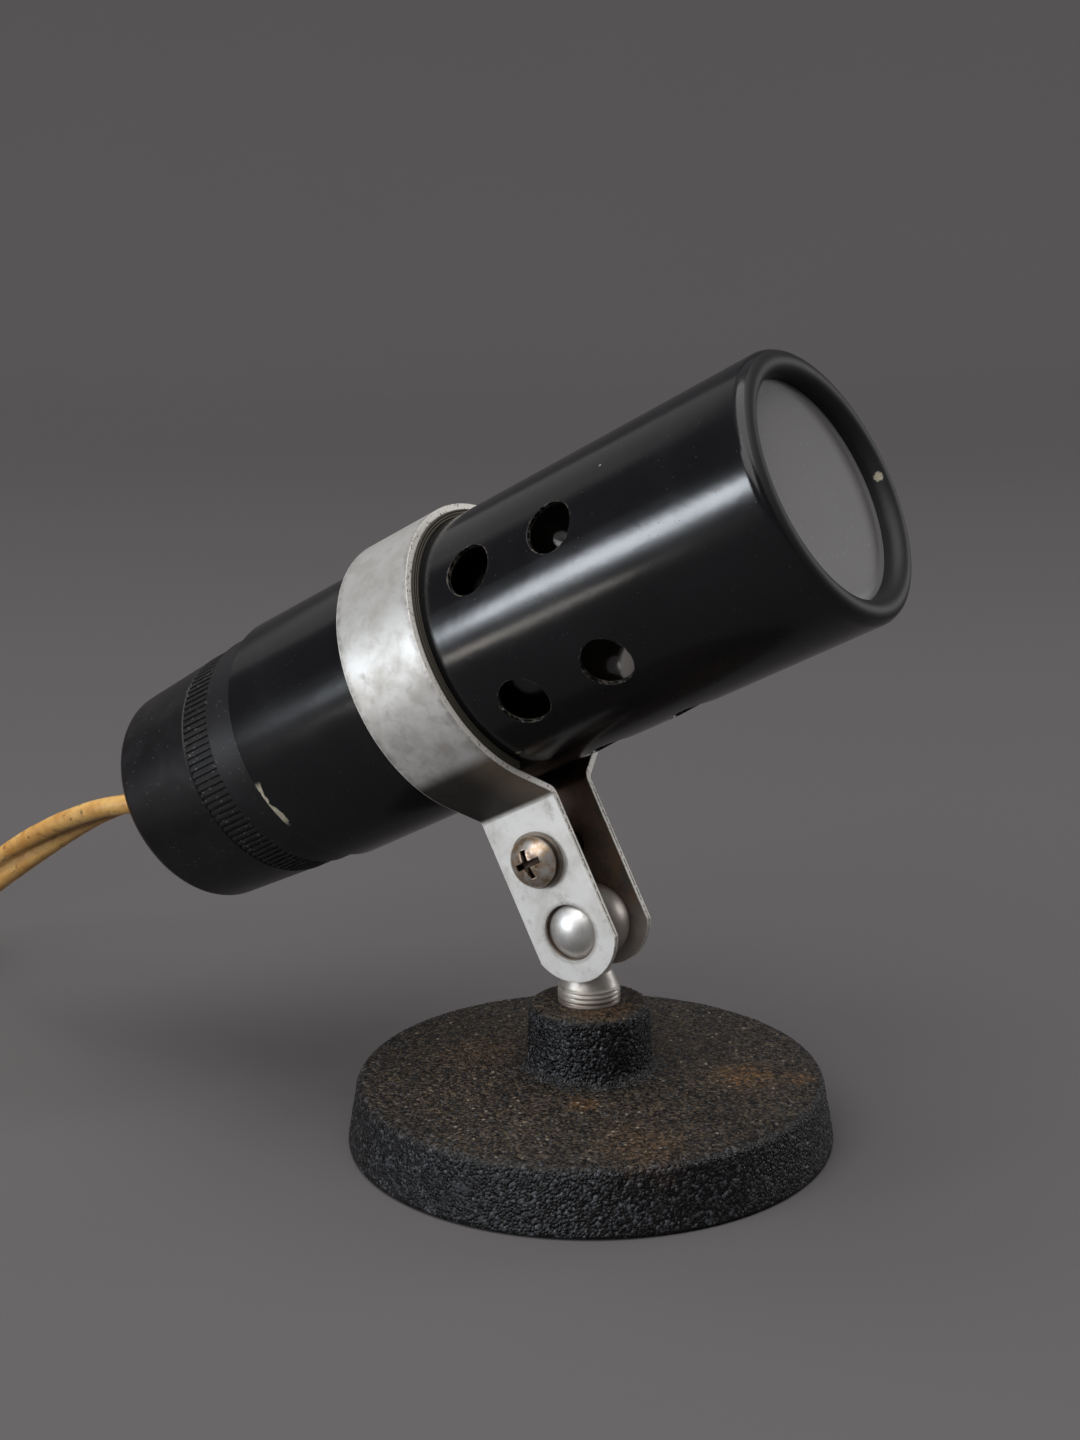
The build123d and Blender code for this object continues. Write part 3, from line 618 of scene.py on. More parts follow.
def crinkle_finish():
    """Black crinkle paint that is glossy on its grains, with painted glints on a few of them, and rust and
    dust settled on top.
    """
    f = Finish("crinkle_paint")
    grain = f.node("Attribute", {"attribute_name": "grain"}, out="Fac")
    across = f.vector("LENGTH", f.vector("MULTIPLY", f.place, (1, 1, 0)), out="Value")
    height = f.along(UP)
    plate = height.step(9.2, 10.9) * height.step(14.2, 11.6) * across.step(9.6, 13.0)
    boss_top = height.step(21.4, 22.2)
    lip = across.step(38.0, 34.5)
    settled = plate * (0.45 + 0.55 * lip) * (0.62 + 0.9 * (f.grain(9, 4, 0.6) - 0.45))
    settled = settled.top(boss_top * 0.75)
    blooms = f.spots(RUST_BLOOMS)
    low = grain.step(0.85, 0.30)
    cell = f.pebbles(PAINT_CELL, out="Color")
    painted_glint_and_rust_share = f.node("SeparateColor", {}, {0: cell})
    gloss = f.node("SeparateColor", {}, {0: cell}, 1)
    settled = settled * (0.35 + 0.65 * low) * f.grain(0.6, 4, 0.7).step(0.34, 0.58)
    # a few random grains are painted pale bluish grey: painted glints; the same cell value also varies the
    # rust's tone
    paint = f.tint(painted_glint_and_rust_share ** 6, (0.002, 0.002, 0.0025), (0.085, 0.090, 0.10))
    dust = f.tint(gloss * gloss, (0.020, 0.015, 0.012), (0.235, 0.170, 0.108))
    paint = f.tint(settled, paint, dust)
    rust = f.tint(painted_glint_and_rust_share * painted_glint_and_rust_share, (0.060, 0.034, 0.018), (0.52, 0.25, 0.070))
    paint = f.tint(blooms * f.grain(1.1, 4, 0.7).step(0.36, 0.60) * 0.8, paint, rust)
    pale = f.specks(0.40, 0.14) * plate
    paint = f.tint(pale * 0.7, paint, (0.40, 0.34, 0.27))
    shine = 0.14 + 0.34 * gloss + 0.35 * settled
    relief = f.bump(1 - f.pebbles(PAINT_CELL), 0.22)
    relief = f.bump(f.grain(0.25, 3, 0.7), 0.07, relief)
    return f.close(Base_Color=paint, Roughness=shine, Normal=relief, Specular_IOR_Level=0.36)


class SEARCHLIGHT_OT_base(PieceOperator, bpy.types.Operator):
    """Turn the cast base and raise the grains of its crinkle paint"""

    bl_idname = "searchlight.base"
    bl_label = "Cast base"

    def execute(self, context):
        size = settings().crinkle_size / MM
        depth = settings().crinkle_depth / MM
        steps = settings().base_steps
        pitch = 0.31
        # distance from the axis, height and corner radius
        outer = [
            (PAD_R, FOOT, 0),
            (BASE_R, FOOT, 0.4),
            (37.2, 10.45, 1.6),
            (10.2, 11.55, 1.5),
            (9.7, BOSS_TOP, 1.6),
            (STUD_BORE, BOSS_TOP, 0),
        ]
        inner = [(STUD_BORE, WELL_TOP), (WELL_R, WELL_TOP), (WELL_R, PAD_TOP), (PAD_R, PAD_TOP)]
        outline = rounded_outline(outer, pitch)
        shown = len(outline)
        outline += [Vector(corner) for corner in inner]
        rows = len(outline)
        normals = []
        for index in range(rows):
            slope = outline[(index + 1) % rows] - outline[index - 1]
            normals.append(Vector((slope.y, -slope.x)).normalized())

        def staggered(row):
            """Whether a row's points lie half a step round from those of the first row."""
            return row % 2 == 1 and row < shown

        noise.seed_set(GRAIN_SEED)
        bm = bmesh.new()
        layer = bm.verts.layers.float.new("grain")
        rings = []
        for index, (spot, out) in enumerate(zip(outline, normals)):
            raised = index < shown and spot.y > SMOOTH_BELOW and spot.x >= SMOOTH_WITHIN
            ring = []
            for k in range(steps):
                turn = 2 * math.pi * (k + 0.5 * staggered(index)) / steps
                c, s = math.cos(turn), math.sin(turn)
                place = Vector((spot.x * c, spot.x * s, spot.y))
                level = 1.0
                if raised:
                    level = grain_height(place, size)
                    place -= Vector((out.x * c, out.x * s, out.y)) * depth * (1 - level)
                vertex = bm.verts.new(place * MM)
                vertex[layer] = level
                ring.append(vertex)
            rings.append(ring)
        for index in range(rows):
            after = (index + 1) % rows
            near, far = rings[index], rings[after]
            for k in range(steps):
                n = (k + 1) % steps
                if staggered(index) == staggered(after):
                    bm.faces.new((near[k], near[n], far[n], far[k]))
                elif staggered(after):
                    bm.faces.new((near[k], near[n], far[k]))
                    bm.faces.new((near[n], far[n], far[k]))
                else:
                    bm.faces.new((near[k], far[n], far[k]))
                    bm.faces.new((near[k], near[n], far[n]))
        casting = mesh_piece("cast_base", bm, crinkle_finish())
        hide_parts("base_casting")
        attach(casting, "base")
        finish_nodes(felt_finish(), "base_pad")
        finish_nodes(steel_finish(), "stud_nut", "stud_washer")
        return {"FINISHED"}


def grain_height(place, size):
    """How high the crinkle paint stands at a place, from 0 in its pits to 1 on its grains."""
    wobble = noise.noise_vector(place / 3.0) * 0.35
    near = noise.voronoi(place / size + wobble)[0]
    dome = 1.0 - min(1.0, near[0] * 1.25)
    fine = noise.noise(place / 0.45) * 0.22
    patch = 0.75 + 0.25 * noise.noise(place / 5.0)
    return min(1.0, max(0.0, dome * patch * 1.15 + fine))


def felt_finish():
    """Dark felt with a short nap."""
    f = Finish("base_felt")
    tone = f.tint(f.grain(0.5, 4, 0.7), (0.016, 0.017, 0.016), (0.045, 0.046, 0.042))
    fuzz = f.bump(f.grain(0.25, 3, 0.7), 0.15)
    return f.close(Base_Color=tone, Roughness=0.95, Normal=fuzz, Sheen_Weight=0.3)


def steel_finish():
    """Bare steel with brown rust in patches."""
    f = Finish("plain_steel")
    tone = f.tint(f.grain(1.5, 4, 0.7).step(0.5, 0.7), (0.42, 0.41, 0.39), (0.16, 0.10, 0.06))
    rough = 0.35 + 0.3 * f.grain(2, 3)
    return f.close(Base_Color=tone, Metallic=0.9, Roughness=rough, Normal=f.worn_edges())


# ---------------------------------------------------------------- stud, strap and screw


def nickel_finish(name, polish, smear, dull, marks=None, metal=0.8):
    """Old nickel plate: satin and clouded, with dull patches where dirt lies."""
    f = Finish(name)
    haze = f.grain(7, 4, 0.62, 0.2)
    cloud = f.grain(2.6, 5, 0.70, 0.3)
    drawn = f.grain(0.5, 2, 0.5, at=f.stretched(RISE, 0.06))
    tone = f.tint(haze.step(0.42, 0.75) * smear, settings().nickel, (0.60, 0.575, 0.535))
    stain = cloud.step(0.55, 0.76) * dull
    tone = f.tint(stain * 0.7, tone, (0.33, 0.295, 0.25))
    pits = f.grain(0.34, 2, 0.5).step(0.70, 0.80) * smear
    tone = f.tint(pits * 0.45, tone, (0.25, 0.20, 0.15))
    if marks:
        tone, metal = marks(f, tone, metal)
    rough = polish + 0.14 * (haze - 0.5) + 0.10 * (drawn - 0.5) + 0.16 * stain
    relief = f.bump(drawn, 0.004, f.worn_edges(0.25))
    relief = f.bump(f.grain(11, 2), 0.12, relief)
    return f.close(Base_Color=tone, Metallic=metal, Roughness=rough, Normal=relief)


def strap_marks_and_painted_light(f, tone, metal):
    """Dirt on the strap's faces; dirt and painted shade round the ball's hole; painted shade with a painted
    brown highlight on the folds over the ears; worn edges with a painted highlight.
    """
    s = f.along(BEAM, TUBE_MID)
    drop = f.along(RISE, BALL)
    hoop = drop.step(24.0, 27.0)
    grime = f.grain(1.4, 4, 0.7)
    # greyer over the upper half of the hoop
    tone = f.tint(drop.step(42, 64) * 0.5, tone, (0.42, 0.41, 0.395))
    smudge = f.grain(4.0, 4, 0.6, 0.2).step(0.46, 0.66) * hoop
    tone = f.tint(smudge * 0.35, tone, (0.40, 0.365, 0.32))
    border = abs(s).step(6.0, 7.3) * hoop
    tone = f.tint(border * grime.step(0.35, 0.7) * 0.6, tone, (0.20, 0.17, 0.14))
    # the folds over the ears are painted: dark painted shade, turning to a painted brown highlight towards
    # their front
    fold_highlight_share = s.step(-1.0, 7.0) * (0.5 + 0.5 * grime)
    brown = f.tint(fold_highlight_share, (0.030, 0.027, 0.025), (0.30, 0.23, 0.16))
    fold_shade_and_highlight = drop.step(20.9, 21.5) * drop.step(31.0, 28.6)
    tone = f.tint(fold_shade_and_highlight * 0.93, tone, brown)
    # a dark ring round the ball's hole: dirt and painted shade
    hole_shade_and_dirt = f.near(EAR_HOLE, 5.3, 0.8, 0.3)
    tone = f.tint(hole_shade_and_dirt * 0.45, tone, (0.15, 0.12, 0.09))
    tone = f.tint(f.near((-8.6, -6.6, 39.3), 1.2, 1.0, 0.9) * 0.45, tone, (0.22, 0.15, 0.08))
    tone = f.tint(f.near((-1.5, -6.6, 50.3), 0.4, 0.2) * 0.9, tone, (0.03, 0.025, 0.02))
    rust = f.grain(3.2, 5, 0.75).step(0.35, 0.62)
    out = abs(f.along((0, 1, 0)))
    inner = out.step(5.5, 5.1) * drop.step(28.0, 22.0)
    stained = f.tint(rust, (0.075, 0.062, 0.050), (0.20, 0.105, 0.055))
    tone = f.tint(inner * (0.55 + 0.37 * drop.step(-4.0, 2.0)), tone, stained)
    flat = f.vector("MULTIPLY", f.vector("SUBTRACT", f.place, tuple(BALL)), (1, 0, 1))
    end = f.vector("LENGTH", flat, out="Value").step(*EDGE_WEAR_AND_HIGHLIGHT_END) * drop.step(-2.6, -3.2)
    # the strap's side edges and the ears' round ends: wear, and a painted highlight with less metal so that
    # it shows
    rim = abs(s).step(*EDGE_WEAR_AND_HIGHLIGHT_SIDE).top(end)
    worn = f.tint(f.grain(0.5, 3, 0.6).step(0.56, 0.70), (0.95, 0.92, 0.86), (0.30, 0.20, 0.12))
    split = abs(out - SHEET_MID).step(0.20, 0.08) * drop.step(21.0, 19.0)
    split = split * f.grain(0.6, 2).step(0.36, 0.48)
    worn = f.tint(split, worn, (0.09, 0.07, 0.055))
    # the painted edge highlight fades lower down: painted shade
    tone = f.tint(rim * (0.35 + 0.65 * drop.step(-9.0, 2.0)), tone, worn)
    return tone, metal - 0.45 * rim


def stud_marks(f, tone, metal):
    """The ball darker and browner between the ears, with brown dirt on the neck and the foot of the stud.
    """
    height = f.along(UP)
    between = abs(f.along((0, 1, 0))).step(5.4, 4.4) * height.step(29.0, 31.0)
    brown = f.tint(f.grain(2.0, 4, 0.7), (0.16, 0.125, 0.10), (0.42, 0.36, 0.31))
    tone = f.tint(between * 0.8, tone, brown)
    neck = height.step(29.5, 28.0)
    tone = f.tint(neck * (0.30 + 0.35 * f.grain(1.6, 4, 0.7)), tone, (0.50, 0.43, 0.35))
    return f.tint(height.step(24.2, 22.6) * 0.7, tone, (0.20, 0.15, 0.11)), metal


class SEARCHLIGHT_OT_stand(PieceOperator, bpy.types.Operator):
    """Give the ball stud and the strap clamp their worn nickel"""

    bl_idname = "searchlight.stand"
    bl_label = "Ball stud and strap clamp"

    def execute(self, context):
        finish_nodes(nickel_finish("stud_nickel", 0.42, 0.9, 0.8, stud_marks), "ball_stud")
        finish_nodes(nickel_finish("strap_nickel", 0.50, 0.9, 0.6, strap_marks_and_painted_light, 0.62), "clamp_strap")
        finish_nodes(liner_finish(), "strap_liner")
        return {"FINISHED"}


def liner_finish():
    """Layers of dark hide, each with a pale cut edge."""
    f = Finish("liner_hide")
    layer = (f.from_axis() * 15.0).sine() * 0.5 + 0.5
    worn = f.grain(1.2, 4, 0.7)
    tone = f.tint(layer * (0.4 + 0.6 * worn), (0.010, 0.008, 0.006), (0.15, 0.13, 0.085))
    return f.close(Base_Color=tone, Roughness=0.7, Normal=f.bump(layer + 0.4 * worn, 0.12))


def screw_rust_and_shade(f, tone, metal):
    """Rust patches on the head, with painted shade in the driver's cross and round the head's foot."""
    depth = f.along(SIDE, SCREW_SEAT)
    # the foot of the head is darkened where it meets the washer: painted shade
    foot = depth.step(1.0, 0.35)
    middle = BALL + RISE * SCREW_ABOVE_BALL
    centre = f.vector("MULTIPLY", f.vector("SUBTRACT", f.place, tuple(middle)), (1, 0, 1))
    away = f.vector("LENGTH", centre, out="Value")
    tone = f.tint(0.15 + 0.85 * f.grain(1.3, 4, 0.7).step(0.35, 0.62), tone, (0.58, 0.41, 0.27))
    # the deep middle of the driver's cross is darkened: painted shade
    cross = away.step(2.7, 2.3) * depth.step(2.2, 1.9)
    spread = away.step(3.2, 1.2) * f.grain(0.8, 3).step(0.42, 0.62)
    tone = f.tint(spread * 0.8, tone, (0.13, 0.062, 0.030))
    return f.tint((cross * 0.95).top(foot * 0.85), tone, (0.030, 0.017, 0.010)), metal


class SEARCHLIGHT_OT_screw(PieceOperator, bpy.types.Operator):
    """Give the clamp screw, its washer and its nut their finish"""

    bl_idname = "searchlight.screw"
    bl_label = "Clamp screw"

    def execute(self, context):
        finish_nodes(nickel_finish("screw_nickel", 0.34, 0.9, 0.5, screw_rust_and_shade), "clamp_screw")
        dull = plain_finish("dull_steel", (0.34, 0.30, 0.26), (0.15, 0.115, 0.09), 0.42, 0.9, 1.5)
        finish_nodes(dull, "clamp_washer", "clamp_nut")
        return {"FINISHED"}


# ---------------------------------------------------------------- tube and glass


# chips: place, radius, softness, raggedness, size of the ragged edge and strength
ENAMEL_CHIPS = (
    (TUBE_MID + BEAM * 67.2 + SIDE * -17.35 + RISE * -0.4, 0.85, 0.3, 0.35, 0.5, 1.0),
    ((10.9, -14.5, 108.5), 0.24, 0.12, 0.1, 0.3, 0.6),
    ((-34.6, -2.6, 44.9), 0.42, 0.15, 0.1, 0.3, 1.0),
    ((-4.6, -12.6, 65.2), 0.8, 0.3, 0.5, 0.5, 0.8),
)


def enamel_finish():
    """Glossy stove enamel with fine scratches, dust, and chips down to the cream primer."""
    f = Finish("tube_enamel")
    black = settings().enamel
    s = f.along(BEAM, TUBE_MID)
    out = f.along(RISE, TUBE_MID)
    side = f.along(SIDE)
    turn = out.math("ARCTAN2", side, out) * (180 / math.pi)
    haze = f.grain(12, 4, 0.6, 0.5)
    tone = f.tint(haze.step(0.4, 0.8) * 0.6, black, [c * 1.7 for c in black])
    dust = f.specks(0.12, 0.03)
    tone = f.tint(dust * 0.35, tone, (0.16, 0.15, 0.14))
    inside = f.from_axis().step(TUBE_BORE + 0.3, TUBE_BORE + 0.1)
    soot = f.tint(f.grain(4, 4, 0.65), (0.016, 0.013, 0.011), (0.045, 0.036, 0.028))
    tone = f.tint(inside * s.step(62, 58), tone, soot)
    ragged = (f.grain(1.1, 4, 0.7) - 0.5) * 2.2
    arc = turn.step(101, 105) * turn.step(127, 121)
    wave = (turn * 0.38).sine() * 0.28
    away = abs(s + CHIPPED_EDGE - wave + ragged * 0.16)
    width = 0.30 * f.grain(1.8, 2).step(0.42, 0.60)
    rear_chip = (away - width).step(0.36, 0.18) * arc
    chips = rear_chip.top(f.spots(ENAMEL_CHIPS))
    tone = f.tint(chips, tone, f.tint(f.grain(0.5, 2), (0.62, 0.58, 0.46), (0.36, 0.31, 0.22)))
    front_ring, rear_ring = (abs(s - place) for place in VENT_RINGS)
    ring_away = front_ring.least(rear_ring)
    wrapped = turn.math("WRAP", turn, VENT_HALF_STEP, -VENT_HALF_STEP)
    vent_away = wrapped * (math.pi / 180 * TUBE_R)
    # a paler ring round each vent: wear, and a painted highlight along the rims
    vent_rim_wear_and_highlight = (ring_away * ring_away + vent_away * vent_away).step(*VENT_RIM_WEAR_AND_HIGHLIGHT_SQUARED)
    vent_rim_wear_and_highlight = vent_rim_wear_and_highlight * f.grain(0.8, 4, 0.7).step(0.48, 0.62)
    tone = f.tint(vent_rim_wear_and_highlight * 0.55, tone, (0.20, 0.175, 0.14))
    cracks = f.pebbles(2.4, "DISTANCE_TO_EDGE", at=f.stretched(BEAM, 0.18))
    scratch = cracks.step(0.012, 0.004) * f.grain(9, 2).step(0.56, 0.66)
    rough = 0.13 + 0.10 * haze + 0.04 * scratch + 0.35 * chips + 0.35 * inside + 0.12 * dust
    relief = f.bump(f.grain(1.6, 2, 0.4), 0.010, f.worn_edges(0.28))
    relief = f.bump(f.grain(14, 1, 0.3), 0.09, relief)
    relief = f.bump(1 - chips, 0.06, relief)
    relief = f.bump(1 - scratch, 0.001, relief)
    return f.close(Base_Color=tone, Roughness=rough, Normal=relief, Specular_IOR_Level=0.44)


def frosted_finish():
    """Ground glass: grey, with fine grain, faint smears and a painted highlight round its rim."""
    f = Finish("frosted_glass")
    away = f.from_axis()
    smear = f.grain(9, 4, 0.6, 0.7)
    tone = f.tint(smear, (0.170, 0.162, 0.164), (0.225, 0.212, 0.214))
    # a paler band near the rim: a painted highlight
    ring = away.step(15.5, 16.3) * (0.5 + 0.5 * f.grain(2.5, 4, 0.7))
    tone = f.tint(ring * 0.5, tone, (0.44, 0.44, 0.46))
    dust = f.specks(0.25, 0.12)
    tone = f.tint(dust * 0.3, tone, (0.6, 0.57, 0.54))
    rough = 0.44 + 0.12 * smear
    relief = f.bump(f.grain(0.3, 2), 0.012)
    return f.close(
        Base_Color=tone,
        Roughness=rough,
        Normal=relief,
        Transmission_Weight=0.25,
        Specular_IOR_Level=0.4,
    )


class SEARCHLIGHT_OT_tube(PieceOperator, bpy.types.Operator):
    """Give the lamp tube, its glass and the glass's ring their finish"""

    bl_idname = "searchlight.tube"
    bl_label = "Lamp tube and glass"

    def execute(self, context):
        finish_nodes(enamel_finish(), "lamp_tube")
        finish_nodes(frosted_finish(), "front_glass")
        finish_nodes(nickel_finish("ring_steel", 0.3, 1.0, 1.0), "glass_ring")
        return {"FINISHED"}


# ---------------------------------------------------------------- lampholder and bulb


def moulding_finish():
    """Black moulded resin, dull with age, with dust between the grip's ribs."""
    f = Finish("moulded_resin")
    black = settings().moulding
    s = f.along(BEAM, TUBE_MID)
    away = f.from_axis()
    haze = f.grain(6, 4, 0.65, 0.6)
    tone = f.tint(haze.step(0.40, 0.75), black, [c * 1.7 for c in black])
    ribs = s.step(RIB_FRONT, RIB_FRONT - 0.4) * s.step(RIB_REAR, RIB_REAR + 0.4)
    grooves = ribs * away.step(19.95, 19.55) * f.grain(1.5, 3).step(0.3, 0.6)
    tone = f.tint(grooves * 0.4, tone, (0.016, 0.015, 0.014))
    band = s.step(BAND_FRONT + 0.6, BAND_FRONT) * s.step(RIB_FRONT - 0.3, RIB_FRONT)
    tone = f.tint(band * 0.5, tone, (0.012, 0.011, 0.013))
    seam = s.step(BAND_FRONT, BAND_FRONT + 0.3)
    tone = f.tint(seam, tone, (0.0015, 0.0015, 0.0015))
    tone = f.tint(f.specks(0.22, 0.10) * 0.5, tone, (0.14, 0.13, 0.12))
    chalk = f.specks(0.26, 0.45) * s.step(RIB_FRONT + 0.6, RIB_FRONT - 0.4)
    chalk = chalk * s.step(RIB_REAR - 1.2, RIB_REAR)
    tone = f.tint(chalk * 0.7, tone, (0.20, 0.19, 0.185))
    rough = 0.25 + 0.14 * haze + 0.28 * ribs + 0.12 * band + 0.3 * seam
    relief = f.bump(f.grain(0.8, 3), 0.012, f.worn_edges(0.2))
    relief = f.bump(f.grain(9, 2), 0.10, relief)
    return f.close(Base_Color=tone, Roughness=rough, Normal=relief, Specular_IOR_Level=0.36)


def plain_finish(name, first, second, rough, metal=0.0, size=1.2, **more):
    """A finish of two tones that drift into each other, with slight relief."""
    f = Finish(name)
    drift = f.grain(size, 4, 0.6, 0.4)
    relief = f.bump(f.grain(size * 0.4, 3), 0.02, f.worn_edges(0.12))
    return f.close(
        Base_Color=f.tint(drift, first, second),
        Roughness=rough + 0.16 * (drift - 0.5),
        Metallic=metal,
        Normal=relief,
        **more,
    )


class SEARCHLIGHT_OT_holder(PieceOperator, bpy.types.Operator):
    """Give the lampholder and what is inside it their finish"""

    bl_idname = "searchlight.holder"
    bl_label = "Lampholder"

    def execute(self, context):
        finish_nodes(moulding_finish(), "holder_skirt", "holder_ring", "holder_cap")
        white = plain_finish("porcelain", (0.72, 0.70, 0.65), (0.60, 0.57, 0.51), 0.25, size=6)
        brass = plain_finish("brass_parts", (0.62, 0.44, 0.17), (0.36, 0.24, 0.10), 0.35, 1.0, 2.0)
        copper = plain_finish("core_copper", (0.72, 0.34, 0.18), (0.42, 0.20, 0.11), 0.35, 1.0, 0.6)
        fibre = plain_finish("grip_fibre", (0.20, 0.12, 0.07), (0.13, 0.08, 0.05), 0.7)
        finish_nodes(white, "holder_insert", "bulb_insulator")
        finish_nodes(brass, "screw_shell", "centre_contact", "terminal_screws")
        finish_nodes(brass, "bulb_cap", "bulb_contact")
        finish_nodes(copper, "core_ends")
        finish_nodes(fibre, "cord_grip")
        return {"FINISHED"}


class SEARCHLIGHT_OT_bulb(PieceOperator, bpy.types.Operator):
    """Give the clear bulb, its stem and its filament their finish"""

    bl_idname = "searchlight.bulb"
    bl_label = "Bulb"

    def execute(self, context):
        f = Finish("bulb_clear")
        dusty = f.tint(f.grain(5, 4), (0.98, 0.98, 0.97), (0.90, 0.88, 0.84))
        relief = f.bump(f.grain(12, 1), 0.05)
        clear = f.close(
            Base_Color=dusty,
            Roughness=0.03 + 0.08 * f.grain(7, 4),
            Normal=relief,
            Transmission_Weight=1.0,
            IOR=1.45,
        )
        pale, grey = (0.85, 0.86, 0.84), (0.74, 0.75, 0.73)
        stem = plain_finish("stem_glass", pale, grey, 0.15, Transmission_Weight=0.8)
        wire = plain_finish("tungsten", (0.30, 0.29, 0.28), (0.18, 0.17, 0.17), 0.4, 1.0, 0.4)
        finish_nodes(clear, "bulb_glass")
        finish_nodes(stem, "bulb_stem")
        finish_nodes(wire, "bulb_filament")
        return {"FINISHED"}


# ---------------------------------------------------------------- cord

# the cord's way from the lampholder down to the table, in millimetres
CORD_WAY = [
    (-75.20, 0.0, 46.10),
    (-90.6, 0.0, 44.2),
    (-106.3, 0.0, 39.8),
    (-132.0, 0.5, 25.0),
    (-153.5, 7.5, 9.8),
    (-171.0, 16.0, 2.8),
    (-190.1, 18.0, 2.1),
]
COIL_MID = Vector((-227.0, -20.0))
COIL_R = 38.0
COIL_TURNS = 6.5
TURN_POINTS = 16
LEAD_IN_R = 38.6
LEAD_OUT_R = 36.2
# in degrees: where the coil starts, where it has its full radius, and where a layer starts
COIL_FROM = 90
WIDE_FROM = 150
LAYER_FROM = 50
LAYER_PASS = 0.88  # the share of a turn after which the cord climbs to the next layer
# radius and height of each layer of the coil, in the order in which they are wound
COIL_LAYERS = [
    (41.4, 1.85),
    (34.4, 1.85),
    (34.4, 5.35),
    (41.4, 5.35),
    (41.4, 8.80),
    (34.4, 8.80),
    (35.6, 12.15),
]
CORD_TAIL = [
    (-214.0, -55.9, 12.2),
    (-204.0, -57.2, 11.6),
    (-192.0, -58.0, 5.0),
    (-179.0, -58.0, 2.2),
    (-166.0, -58.0, 3.4),
    (-157.0, -58.0, 6.2),
    (-144.0, -58.0, 6.5),
]


# where the flat cord turns a quarter round, in millimetres along it from the lampholder
TWISTS = ((15, 72), (78, 104))


def coil_points():
    """Control points of the wound turns; each layer passes to the next beside the lead-in."""
    points = []
    widen = 1 / math.cos(math.pi / TURN_POINTS)
    count = round(COIL_TURNS * TURN_POINTS)
    for k in range(count + 1):
        degrees = COIL_FROM + 360 * k / TURN_POINTS
        layer = (degrees - LAYER_FROM) / 360
        whole = min(int(layer), len(COIL_LAYERS) - 1)
        radius, height = COIL_LAYERS[whole]
        rest = layer - whole
        if rest > LAYER_PASS and whole + 1 < len(COIL_LAYERS):
            blend = ease(rest, LAYER_PASS, 1.0)
            radius += (COIL_LAYERS[whole + 1][0] - radius) * blend
            height += (COIL_LAYERS[whole + 1][1] - height) * blend
        if degrees < WIDE_FROM:
            radius = LEAD_IN_R + (radius - LEAD_IN_R) * ease(degrees, COIL_FROM, WIDE_FROM)
        if k == count:
            radius = LEAD_OUT_R
        turn = math.radians(degrees)
        x = COIL_MID.x + radius * widen * math.cos(turn)
        y = COIL_MID.y + radius * widen * math.sin(turn)
        points.append((x, y, height))
    return points


def cord_finish():
    """Yellowed soft jacket with brown spots and dirt in the groove between its cores."""
    f = Finish("cord_jacket")
    fresh = settings().cord_jacket
    drift = f.grain(7, 4, 0.6, 0.5)
    yellowed = [part * share for part, share in zip(fresh, (0.72, 0.55, 0.38))]
    tone = f.tint(drift.step(0.35, 0.7), fresh, yellowed)
    spots = f.grain(2.2, 5, 0.7, 0.8).step(0.54, 0.68)
    tone = f.tint(spots * 0.55, tone, (0.14, 0.075, 0.03))
    specks = f.specks(0.5, 0.22)
    tone = f.tint(specks * 0.7, tone, (0.07, 0.04, 0.02))
    groove = f.node("Attribute", {"attribute_name": "groove"}, out="Fac")
    tone = f.tint(groove * (0.30 + 0.4 * f.grain(2, 3)), tone, (0.20, 0.11, 0.05))
    relief = f.bump(f.grain(0.5, 3), 0.03)
    relief = f.bump(f.grain(4, 2), 0.16, relief)
    rough = 0.34 + 0.18 * drift
    return f.close(Base_Color=tone, Roughness=rough, Normal=relief, Specular_IOR_Level=0.45)


def twin_section(width, thickness):
    """Outline of two round cores side by side with a groove between them."""
    core = thickness / 2
    apart = (width - thickness) / 2
    count = 12
    section = []
    for centre, first in ((apart, -150), (-apart, 30)):
        for k in range(count + 1):
            turn = math.radians(first + 300 * k / count)
            section.append((centre + core * math.cos(turn), core * math.sin(turn)))
    return section


class SEARCHLIGHT_OT_cord(PieceOperator, bpy.types.Operator):
    """Lay the twin cord from the lampholder to its coil and plug"""

    bl_idname = "searchlight.cord"
    bl_label = "Cord"

    def execute(self, context):
        way = CORD_WAY + coil_points() + CORD_TAIL
        line = smooth_line([Vector(p) * MM for p in way], 10)
        section = twin_section(settings().cord_width, settings().cord_thickness)
        reach = [0.0]
        for near, far in zip(line, line[1:]):
            reach.append(reach[-1] + (far - near).length / MM)

        def wide_at(index, heading):
            flat = UP.cross(heading).normalized()
            turn = math.pi / 2 * sum(ease(reach[index], low, high) for low, high in TWISTS)
            return Matrix.Rotation(turn, 3, heading) @ flat

        cord = swept("twin_cord", line, wide_at, section, cord_finish())
        dent = cord.data.attributes.new("groove", "FLOAT", "POINT")
        edge = settings().cord_width * 0.11
        marks = [1.0 if abs(u) < edge else 0.0 for u, v in section]
        dent.data.foreach_set("value", marks * len(line))
        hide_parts("cord", "cord_coil", "cord_tail")
        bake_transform(cord)
        return {"FINISHED"}


def plug_finish():
    """Brown moulded resin with pale dust."""
    f = Finish("plug_resin")
    drift = f.grain(5, 4, 0.6, 0.4)
    tone = f.tint(drift, (0.085, 0.048, 0.028), (0.050, 0.030, 0.020))
    tone = f.tint(f.specks(0.3, 0.12) * 0.5, tone, (0.2, 0.17, 0.13))
    relief = f.bump(f.grain(0.7, 3), 0.02, f.worn_edges(0.25))
    return f.close(Base_Color=tone, Roughness=0.32 + 0.16 * drift, Normal=relief)


